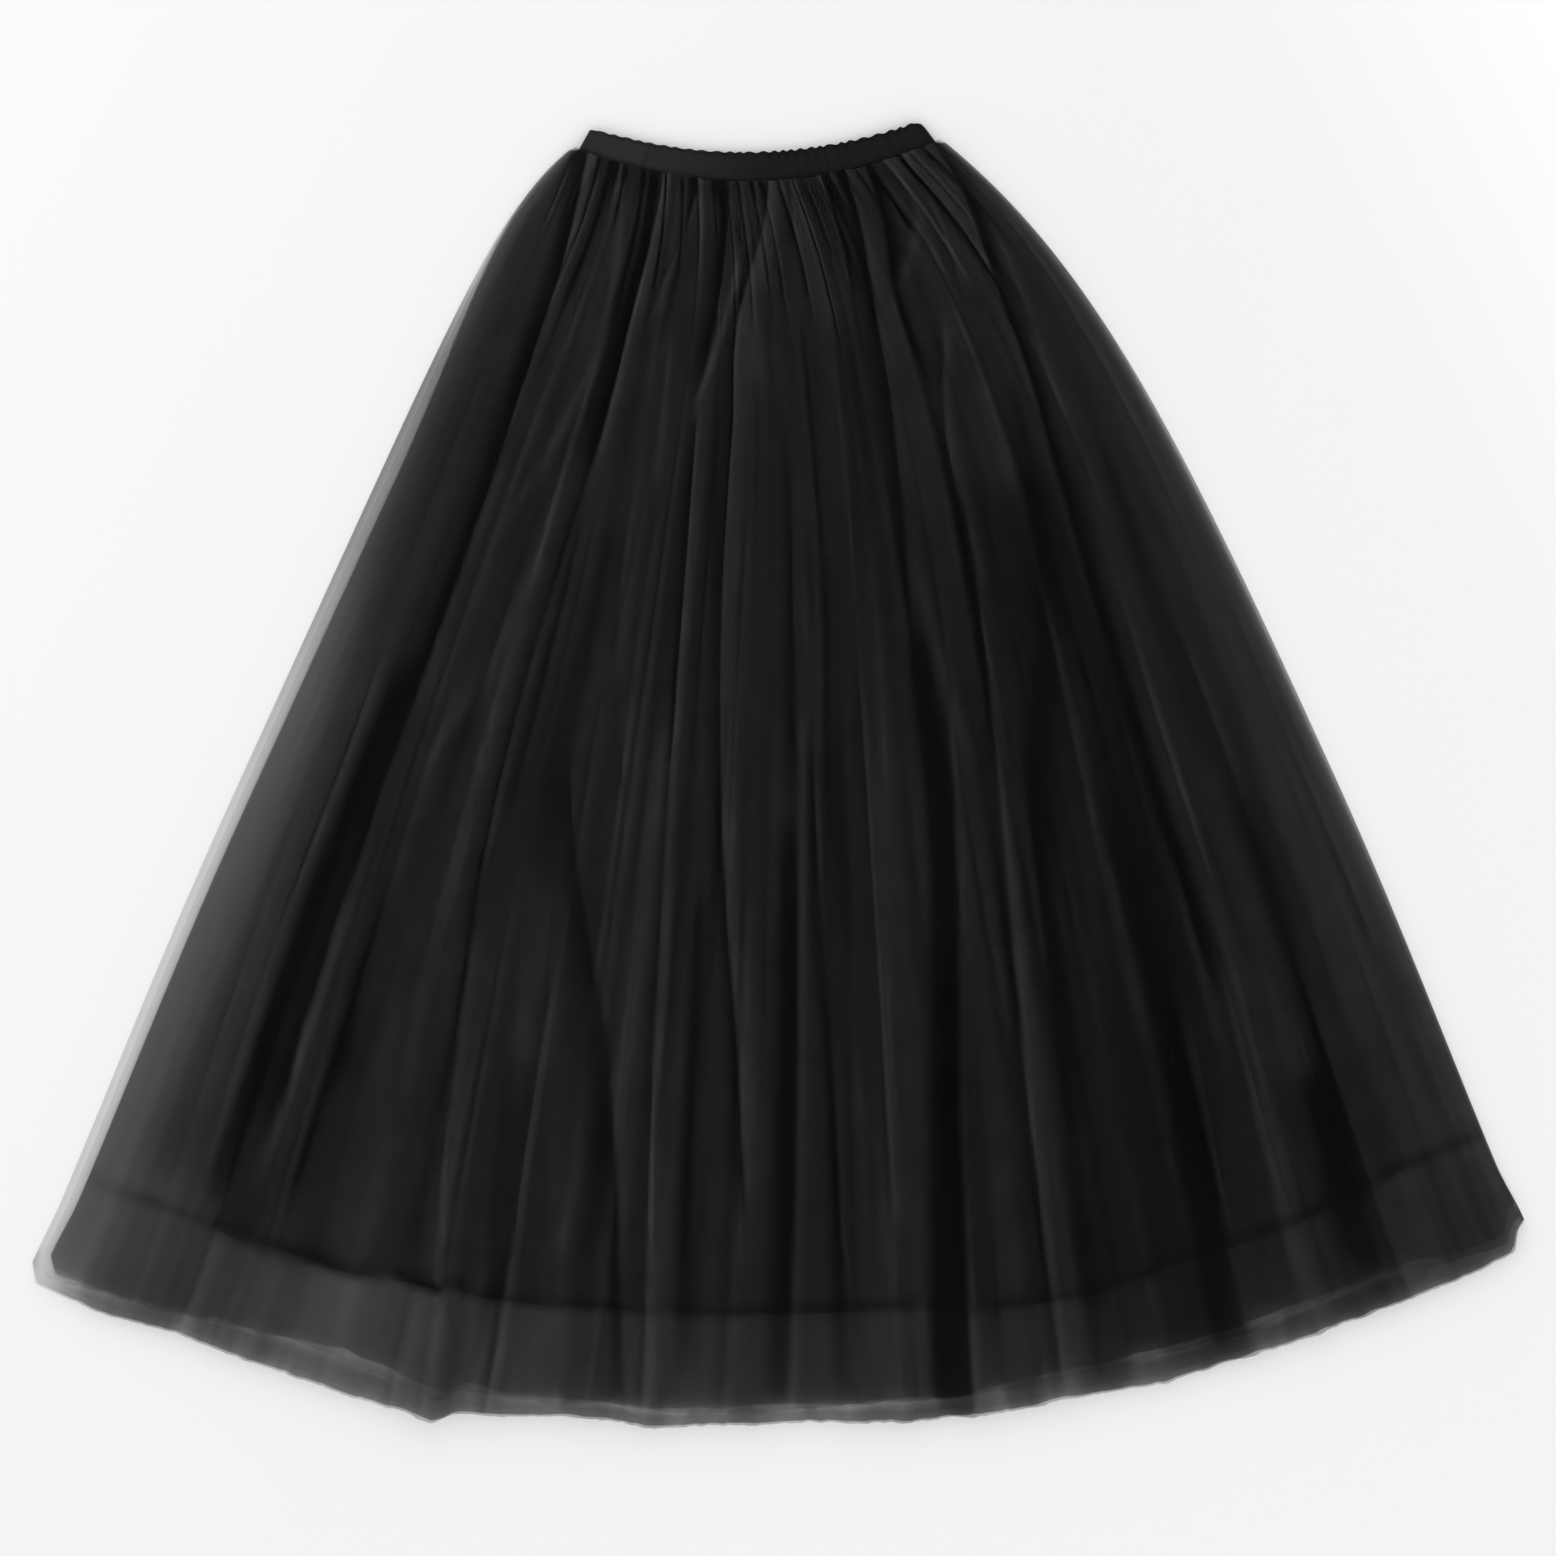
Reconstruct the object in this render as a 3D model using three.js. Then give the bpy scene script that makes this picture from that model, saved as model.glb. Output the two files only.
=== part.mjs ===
// Floor-length tulle skirt on a ruched elastic waistband, laid flat in millimetres, +Z up.
// The waist points to +Y and the front faces up. The outer back lies on the surface.
import * as THREE from 'three';

// Waistband, flat and relaxed
const seamWidth = 286; // across the seam under the band
const bandTopWidth = 262; // across the band's top edge
const bandHeight = 24; // in the middle
const seamDip = 29; // the seam lies this much lower in the middle than at the ends
const topDip = 22; // the same for the top edge
const bandTilt = 3; // the right end lies this much higher than its dip alone
const bandWall = 3;
const bandHollow = 1; // between the band's front and back, inside
const puckers = 28; // gathers across the front of the band and of the tulle
const puckerDepth = 0.8;
const scallop = 1; // how far each pucker lifts the top edge

// Where the skirt lies: the middle of the seam, and the point where the side lines would meet
const seamMiddle = { x: -17, y: 478.1 };
const fanPoint = { x: 13.4, y: 975.7 };

// Walls, and the gap that pressed cloth keeps
const tulleWall = 1;
const liningWall = 1;
const hemTurn = 8; // depth of the lining's turned hem
const hemTurnWall = 1.6; // the lining's wall where the hem is turned
const liningLength = 920;
const layGap = 0.4;
const seamGap = 0.4; // between the band and the cloth sewn to it

// Side lines in degrees from straight down, how far they close in again towards the hem, the share of
// the length in which two thirds of the spread is done, and the shoulder of cloth beyond the band's end
const tulleSides = {
  left: { degrees: 24.5, closing: 0.4, flare: 0.055 },
  right: { degrees: 24, closing: 0.4, flare: 0.113 },
  shoulder: 8,
};
const liningSides = {
  left: { degrees: 21.2, closing: 2, flare: 0.1 },
  right: { degrees: 21.2, closing: 0.3, flare: 0.1 },
  shoulder: 1,
};

// Hem of the tulle: the reach from the fan point, at shares of the half width
const tulleHem = [
  { across: -1, reach: 1498 },
  { across: -0.95, reach: 1513 },
  { across: -0.76, reach: 1509 },
  { across: -0.5, reach: 1521 },
  { across: -0.43, reach: 1512 },
  { across: -0.25, reach: 1504 },
  { across: -0.18, reach: 1506 },
  { across: 0, reach: 1497 },
  { across: 0.27, reach: 1498 },
  { across: 0.53, reach: 1491 },
  { across: 0.8, reach: 1481 },
  { across: 0.97, reach: 1479 },
  { across: 1, reach: 1461 },
];

// Hem of the lining, which is shorter and dips in soft steps
const liningHem = [
  { across: -1, reach: 1416 },
  { across: -0.85, reach: 1420 },
  { across: -0.65, reach: 1414 },
  { across: -0.45, reach: 1413 },
  { across: -0.2, reach: 1405 },
  { across: 0.1, reach: 1404 },
  { across: 0.4, reach: 1410 },
  { across: 0.5, reach: 1407 },
  { across: 0.6, reach: 1398 },
  { across: 0.8, reach: 1392 },
  { across: 1, reach: 1378 },
];

// The large folds of the tulle: where each ridge starts and ends, across and down, and its size
const tulleFolds = [
  { waist: -0.95, hem: -0.9, from: 0.2, to: 1.2, wide: 0.06, high: 4 },
  { waist: -0.84, hem: -0.75, from: 0.02, to: 1.2, wide: 0.07, high: 8 },
  { waist: -0.7, hem: -0.62, from: 0.1, to: 1.2, wide: 0.06, high: 6 },
  { waist: -0.54, hem: -0.5, from: 0.02, to: 1.2, wide: 0.07, high: 12 },
  { waist: -0.4, hem: -0.34, from: 0.15, to: 1.2, wide: 0.06, high: 6 },
  { waist: -0.3, hem: -0.2, from: 0.05, to: 1.2, wide: 0.07, high: 10 },
  { waist: -0.18, hem: -0.07, from: 0.02, to: 0.75, wide: 0.07, high: 12 },
  { waist: -0.05, hem: 0, from: 0.02, to: 1.2, wide: 0.06, high: 7 },
  { waist: 0.17, hem: 0.25, from: 0.01, to: 0.3, wide: 0.07, high: 7 },
  { waist: 0.05, hem: 0.11, from: 0.45, to: 1.2, wide: 0.07, high: 7 },
  { waist: 0.32, hem: 0.25, from: 0.08, to: 1.2, wide: 0.07, high: 13 },
  { waist: 0.46, hem: 0.36, from: 0.03, to: 1.2, wide: 0.06, high: 10 },
  { waist: 0.58, hem: 0.47, from: 0.05, to: 1.2, wide: 0.06, high: 7 },
  { waist: 0.72, hem: 0.66, from: 0.03, to: 1.2, wide: 0.07, high: 12 },
  { waist: 0.88, hem: 0.82, from: 0.1, to: 1.2, wide: 0.07, high: 6 },
];
const foldEase = 0.08; // share of the length over which a fold rises or dies away
const foldsAtBand = 0.3; // share of a fold's height at the band, where the cloth is held flat
const gatherFade = 0.12; // share of the length in which the small gathers die away
const loft = 9; // how far the gathered front stands off the lining below the hips
const loftAtHem = 0.4; // share of the loft that is left at the hem

// The lining's few soft folds, in the same columns
const liningFolds = [
  { waist: -0.6, hem: -0.45, from: 0.1, to: 0.9, wide: 0.25, high: 1 },
  { waist: -0.1, hem: -0.05, from: 0.05, to: 0.85, wide: 0.25, high: 1 },
  { waist: 0.45, hem: 0.5, from: 0.1, to: 0.9, wide: 0.25, high: 1 },
];
const liningFoldHigh = 1;

// Grids: tulle columns are two to a gather, and rows lie closer where the gathers open
const tulleColumns = 2 * puckers;
const tulleRows = [0, 0.02, 0.05, 0.09, 0.14, 0.21, 0.3, 0.41, 0.53, 0.66, 0.79, 0.9, 1];
const backColumns = 20;
const backRows = [0, 0.05, 0.12, 0.25, 0.5, 0.75, 1];
const liningColumns = 24;
const liningRows = [0, 0.05, 0.12, 0.25, 0.42, 0.6, 0.8];

const mix = THREE.MathUtils.lerp;
const ease = (at, from, to) => THREE.MathUtils.smoothstep(at, from, to);
const radians = THREE.MathUtils.degToRad;

// Straight lines between the rows of a hem table
function reachAt(hem, across) {
  const next = Math.max(1, hem.findIndex((row) => row.across >= across));
  const [a, b] = [hem[next - 1], hem[next]];
  return mix(a.reach, b.reach, (across - a.across) / (b.across - a.across));
}

// The seam under the band and the band's top edge dip in the middle; end runs from -1 to 1
const seamAt = (end) => seamMiddle.y + seamDip * end * end + bandTilt * end;
const bandTopAt = (end) => seamMiddle.y + bandHeight + topDip * end * end + bandTilt * end;

// A place on a panel: across from -1 to 1 and down from 0 at the waist to 1 at the hem. A shorter
// panel has the same rows but for its last one.
function lay(panel, across, down) {
  const { sides, hem, shorter } = panel;
  const halfWaist = seamWidth / 2 + sides.shoulder;
  const waistX = seamMiddle.x + halfWaist * across;
  const end = THREE.MathUtils.clamp((waistX - seamMiddle.x) / (seamWidth / 2), -1, 1);
  const waistY = seamAt(end) - seamGap;
  const waistAngle = Math.atan2(waistX - fanPoint.x, fanPoint.y - waistY);
  const waistReach = Math.hypot(waistX - fanPoint.x, fanPoint.y - waistY);
  const side = across < 0 ? sides.left : sides.right;
  const flare = mix(sides.left.flare, sides.right.flare, ease(across, -0.7, 0.7));
  const spread = (1 - Math.exp(-down / flare)) / (1 - Math.exp(-1 / flare));
  const fullAngle = radians(across * (side.degrees - side.closing * ease(down, 0.6, 1)));
  const angle = mix(waistAngle, fullAngle, spread);
  const reach = mix(waistReach, reachAt(hem, across), down) - (down === 1 ? shorter : 0);
  return { x: fanPoint.x + reach * Math.sin(angle), y: fanPoint.y - reach * Math.cos(angle) };
}

// Height that the folds of a table add at a place
function foldHeight(folds, across, down) {
  let height = 0;
  for (const fold of folds) {
    const off = Math.abs(across - mix(fold.waist, fold.hem, down)) / fold.wide;
    if (off < 1) {
      const along = ease(down, fold.from - foldEase, fold.from + foldEase)
        * (1 - ease(down, fold.to - foldEase, fold.to + foldEase));
      height += fold.high * along * (0.5 + 0.5 * Math.cos(Math.PI * off));
    }
  }
  return height;
}

// How the folds grow below the band, the loft of the whole front, and the small gathers
const foldGrowth = (down) => mix(foldsAtBand, 1, ease(down, 0, 0.25));
const loftAt = (across, down) => loft * (1 - across ** 4) * ease(down, 0, 0.15)
  * mix(1, loftAtHem, ease(down, 0.4, 1));
const gatherAt = (across, down) => puckerDepth * Math.cos(Math.PI * puckers * (across + 1))
  * Math.exp(-down / gatherFade);

// A closed wall: an underside grid, the same grid lifted by the wall, and a rim
function wall(columns, rows, underside, thick) {
  const positions = [];
  const faces = [];
  const quad = (a, b, c, d) => faces.push(a, b, c, a, c, d);
  const lastRow = rows.length - 1;
  const lastColumn = columns.length - 1;
  const at = (layer, row, column) => (layer * rows.length + row) * columns.length + column;
  for (const layer of [0, 1]) {
    for (const down of rows) {
      for (const across of columns) {
        const place = underside(across, down);
        positions.push(place.x, place.y, place.z + layer * thick(down));
      }
    }
  }
  for (let row = 0; row < lastRow; row += 1) {
    for (let column = 0; column < lastColumn; column += 1) {
      quad(at(1, row + 1, column), at(1, row + 1, column + 1), at(1, row, column + 1), at(1, row, column));
      quad(at(0, row, column + 1), at(0, row + 1, column + 1), at(0, row + 1, column), at(0, row, column));
    }
    quad(at(0, row, 0), at(0, row + 1, 0), at(1, row + 1, 0), at(1, row, 0));
    quad(at(0, row + 1, lastColumn), at(0, row, lastColumn), at(1, row, lastColumn), at(1, row + 1, lastColumn));
  }
  for (let column = 0; column < lastColumn; column += 1) {
    quad(at(0, lastRow, column), at(0, lastRow, column + 1), at(1, lastRow, column + 1), at(1, lastRow, column));
    quad(at(0, 0, column + 1), at(0, 0, column), at(1, 0, column), at(1, 0, column + 1));
  }
  return solid(positions, faces);
}

function solid(positions, faces) {
  const geometry = new THREE.BufferGeometry();
  geometry.setAttribute('position', new THREE.Float32BufferAttribute(positions, 3));
  geometry.setIndex(faces);
  geometry.computeVertexNormals();
  return geometry;
}

const evenly = (count) => Array.from({ length: count + 1 }, (_, i) => -1 + (2 * i) / count);

// A flat panel of the back
function backPanel(panel) {
  const underside = (across, down) => ({
    ...lay(panel, across * (1 - panel.inset), down),
    z: panel.level,
  });
  return wall(evenly(backColumns), backRows, underside, () => tulleWall);
}

// A gathered front panel: its side edges come down to the back panel of its own layer
function frontPanel(panel) {
  const underside = (across, down) => {
    const edge = Math.abs(across) === 1;
    const place = lay(panel, edge ? across * (1 - panel.inset) : across, down);
    const folds = foldHeight(tulleFolds, across, down) * foldGrowth(down);
    const raised = panel.level + panel.share * (loftAt(across, down) + folds + gatherAt(across, down));
    return { ...place, z: edge ? panel.backLevel + tulleWall + layGap : raised };
  };
  return wall(evenly(tulleColumns), tulleRows, underside, () => tulleWall);
}

// A lining panel, thicker where its hem is turned
function liningPanel(panel) {
  const turnStarts = 1 - hemTurn / liningLength;
  const turnStep = 1 / liningLength;
  const rows = [...liningRows, turnStarts - turnStep, turnStarts, 1];
  const underside = (across, down) => ({
    ...lay(panel, across, down),
    z: panel.level + (panel.folded ? foldHeight(liningFolds, across, down) : 0),
  });
  const thick = (down) => (panel.folded && down >= turnStarts ? hemTurnWall : liningWall);
  return wall(evenly(liningColumns), rows, underside, thick);
}

// The band is one loop: along the front, round the right end, back, and round the left end
function bandLoop() {
  const bend = (bandHollow + bandWall) / 2;
  const middle = bandWall + bandHollow / 2;
  const straight = seamWidth / 2 - bend - bandWall / 2;
  const stations = [];
  const frontSteps = 4 * puckers;
  const backSteps = 24;
  const bendSteps = 5;
  for (let i = 0; i <= frontSteps; i += 1) {
    const wave = 0.5 - 0.5 * Math.cos((2 * Math.PI * i) / 4);
    stations.push({ along: mix(-straight, straight, i / frontSteps), turn: Math.PI / 2, wave });
  }
  for (let i = 1; i < bendSteps; i += 1) {
    stations.push({ along: straight, turn: Math.PI / 2 - (Math.PI * i) / bendSteps, wave: 0 });
  }
  for (let i = 0; i <= backSteps; i += 1) {
    stations.push({ along: mix(straight, -straight, i / backSteps), turn: -Math.PI / 2, wave: 0 });
  }
  for (let i = 1; i < bendSteps; i += 1) {
    stations.push({ along: -straight, turn: -Math.PI / 2 - (Math.PI * i) / bendSteps, wave: 0 });
  }
  // Each section: outward offset from the wall's middle line, and share of the band's height
  const section = [
    { out: bandWall / 2, up: 0, swell: 0 },
    { out: bandWall / 2, up: 0.5, swell: puckerDepth },
    { out: bandWall / 2, up: 1, swell: 0 },
    { out: -bandWall / 2, up: 1, swell: 0 },
    { out: -bandWall / 2, up: 0, swell: 0 },
  ];
  const positions = [];
  for (const { along, turn, wave } of stations) {
    for (const { out, up, swell } of section) {
      const offset = bend + out + swell * wave;
      const flat = along + offset * Math.cos(turn);
      const end = THREE.MathUtils.clamp(flat / (seamWidth / 2), -1, 1);
      const lift = up * scallop * wave;
      positions.push(
        seamMiddle.x + (flat * mix(seamWidth, bandTopWidth, up)) / seamWidth,
        mix(seamAt(end), bandTopAt(end) - scallop, up) + lift,
        middle + offset * Math.sin(turn),
      );
    }
  }
  const faces = [];
  const size = section.length;
  stations.forEach((_, i) => {
    const next = (i + 1) % stations.length;
    for (let j = 0; j < size; j += 1) {
      const k = (j + 1) % size;
      faces.push(i * size + j, next * size + j, next * size + k);
      faces.push(i * size + j, next * size + k, i * size + k);
    }
  });
  return solid(positions, faces);
}

// The panels from the surface up. Level is a panel's underside at the band, and share is how much
// of the loft and folds it follows.
const step = tulleWall + layGap;
const liningLevel = 3 * step;
const frontLevel = liningLevel + 2 * (liningWall + layGap) + liningFoldHigh;
const tulle = { sides: tulleSides, hem: tulleHem };
const lining = { sides: liningSides, hem: liningHem, shorter: 0 };
const layers = [
  { name: 'outer', shorter: 0, inset: 0, backLevel: 0, level: frontLevel + 2 * step, share: 1 },
  { name: 'middle', shorter: 16, inset: 0.012, backLevel: step, level: frontLevel + step, share: 0.7 },
  { name: 'inner', shorter: 20, inset: 0.024, backLevel: 2 * step, level: frontLevel, share: 0.45 },
];

const net = { color: 0x2c2c2f, roughness: 0.8, metalness: 0 };
const satin = { color: 0x121214, roughness: 0.55, metalness: 0 };
const elastic = { color: 0x202023, roughness: 0.75, metalness: 0 };

const skirt = new THREE.Group();
function add(name, geometry, looks) {
  const mesh = new THREE.Mesh(geometry, new THREE.MeshStandardMaterial(looks));
  mesh.name = name;
  skirt.add(mesh);
}

add('waistband', bandLoop(), elastic);
for (const layer of layers) {
  add(`tulle_${layer.name}_back`, backPanel({ ...tulle, ...layer, level: layer.backLevel }), net);
  add(`tulle_${layer.name}_front`, frontPanel({ ...tulle, ...layer }), net);
}
const liningFrontLevel = liningLevel + liningWall + layGap;
add('lining_back', liningPanel({ ...lining, level: liningLevel, folded: false }), satin);
add('lining_front', liningPanel({ ...lining, level: liningFrontLevel, folded: true }), satin);

export default skirt;
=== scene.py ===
"""Floor-length tulle skirt on a ruched elastic waistband, laid flat and seen from straight above."""
import math
import random
from collections import namedtuple

import bpy
import numpy as np
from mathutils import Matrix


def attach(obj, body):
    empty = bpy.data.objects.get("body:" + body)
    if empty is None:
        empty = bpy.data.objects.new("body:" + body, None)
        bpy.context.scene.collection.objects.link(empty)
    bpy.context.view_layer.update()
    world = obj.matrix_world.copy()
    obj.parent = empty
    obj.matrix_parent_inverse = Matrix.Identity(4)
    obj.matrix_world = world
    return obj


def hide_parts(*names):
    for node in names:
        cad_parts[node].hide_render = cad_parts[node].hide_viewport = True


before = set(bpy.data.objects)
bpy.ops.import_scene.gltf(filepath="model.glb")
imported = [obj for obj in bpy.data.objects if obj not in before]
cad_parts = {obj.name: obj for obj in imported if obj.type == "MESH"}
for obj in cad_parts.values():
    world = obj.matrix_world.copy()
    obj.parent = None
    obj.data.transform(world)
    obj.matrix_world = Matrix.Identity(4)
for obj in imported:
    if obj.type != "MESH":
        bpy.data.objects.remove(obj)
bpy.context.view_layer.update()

# Sizes in millimetres, as in the part's source
MM = 0.001
SEAM_WIDTH = 286.0        # across the seam under the band, flat and relaxed
BAND_TOP_WIDTH = 262.0    # across the band's top edge
BAND_HEIGHT = 24.0
SEAM_DIP = 29.0           # the seam lies this much lower in the middle than at the ends
TOP_DIP = 22.0
BAND_TILT = 3.0           # the right end lies this much higher than its dip alone
BAND_WALL = 3.0
BAND_HOLLOW = 1.0
BAND_BEND = (BAND_HOLLOW + BAND_WALL) / 2     # radius of the loop's ends, to the middle of the wall
BAND_STRAIGHT = SEAM_WIDTH / 2 - BAND_BEND - BAND_WALL / 2
SEAM_X, SEAM_Y = -17.0, 478.1     # middle of the seam
FAN_X, FAN_Y = 13.4, 975.7        # where the side lines would meet
EVEN_FLARE = 0.1          # share of the length in which two thirds of the lining's spread is done
LEFT_FLARE = 0.055        # the tulle opens sooner on the left
RIGHT_FLARE = 0.113
FLARE_BLEND = 0.7         # the flare changes from left to right between these shares across
TULLE_SHOULDER = 8.0      # how far the tulle's waist reaches past the seam's ends
MEAN_SIDE = 24.2          # degrees, for widths across the whole skirt
WAIST_REACH = 500         # from the fan point, rounded
SKIRT_LENGTH = 1000       # from seam to hem, rounded
SEAM_SHADOW_DOTS_END = 0.1       # dark dots show under the band up to this place across
PUCKERS = 28              # gathers across the front
LAY_STEP = 1.4            # from one panel's underside to the next, where they lie flat
LINING_LEVEL = 3 * LAY_STEP
FRONT_LEVEL = LINING_LEVEL + 3.8
LOFT = 9.0                # how far the gathered front stands off the lining below the hips
SEED = 7

# Each panel's outline. A side is degrees from straight down, how far it turns in again towards the hem,
# and its flare. The shoulder is how far its waist reaches past the seam's ends. The hem is the reach from
# the fan point at shares of the half width, and shorter and the insets are what an inner layer draws
# back, in mm.
Cut = namedtuple("Cut", "left right shoulder hem shorter inset_left inset_right")
TULLE_HEM = ((-1, 1498), (-0.985, 1512), (-0.95, 1513), (-0.76, 1509), (-0.5, 1521), (-0.455, 1525),
             (-0.43, 1513), (-0.25, 1504), (-0.18, 1506), (0, 1497), (0.27, 1498), (0.53, 1491),
             (0.8, 1481), (0.97, 1480), (0.985, 1466), (1, 1460))
LINING_HEM = ((-1, 1416), (-0.85, 1420), (-0.65, 1414), (-0.45, 1413), (-0.2, 1405), (0.1, 1404),
              (0.4, 1410), (0.5, 1407), (0.6, 1398), (0.8, 1392), (1, 1378))
NOT_SHORTER = ((-1, 0), (1, 0))
MIDDLE_SHORTER = ((-1, 4), (-0.9, 12), (-0.6, 26), (-0.45, 16), (-0.3, 12), (0, 9), (0.2, 12),
                  (0.35, 20), (0.55, 19), (0.8, 22), (1, 8))
INNER_SHORTER = ((-1, 8), (-0.9, 15), (-0.6, 31), (-0.45, 22), (-0.3, 15), (0, 12), (0.2, 17),
                 (0.35, 25), (0.55, 23), (0.8, 27), (1, 14))
TULLE_SIDES = ((24.5, 0.4, LEFT_FLARE), (24.0, 0.4, RIGHT_FLARE), TULLE_SHOULDER)
LINING_SIDES = ((21.2, 2.0, EVEN_FLARE), (21.2, 0.3, EVEN_FLARE), 1.0)
CUTS = {
    "outer": Cut(*TULLE_SIDES, TULLE_HEM, NOT_SHORTER, 0, 0),
    "middle": Cut(*TULLE_SIDES, TULLE_HEM, MIDDLE_SHORTER, 6, 1.5),
    "inner": Cut(*TULLE_SIDES, TULLE_HEM, INNER_SHORTER, 13, 3),
    "lining": Cut(*LINING_SIDES, LINING_HEM, NOT_SHORTER, 0, 0),
}
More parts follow.
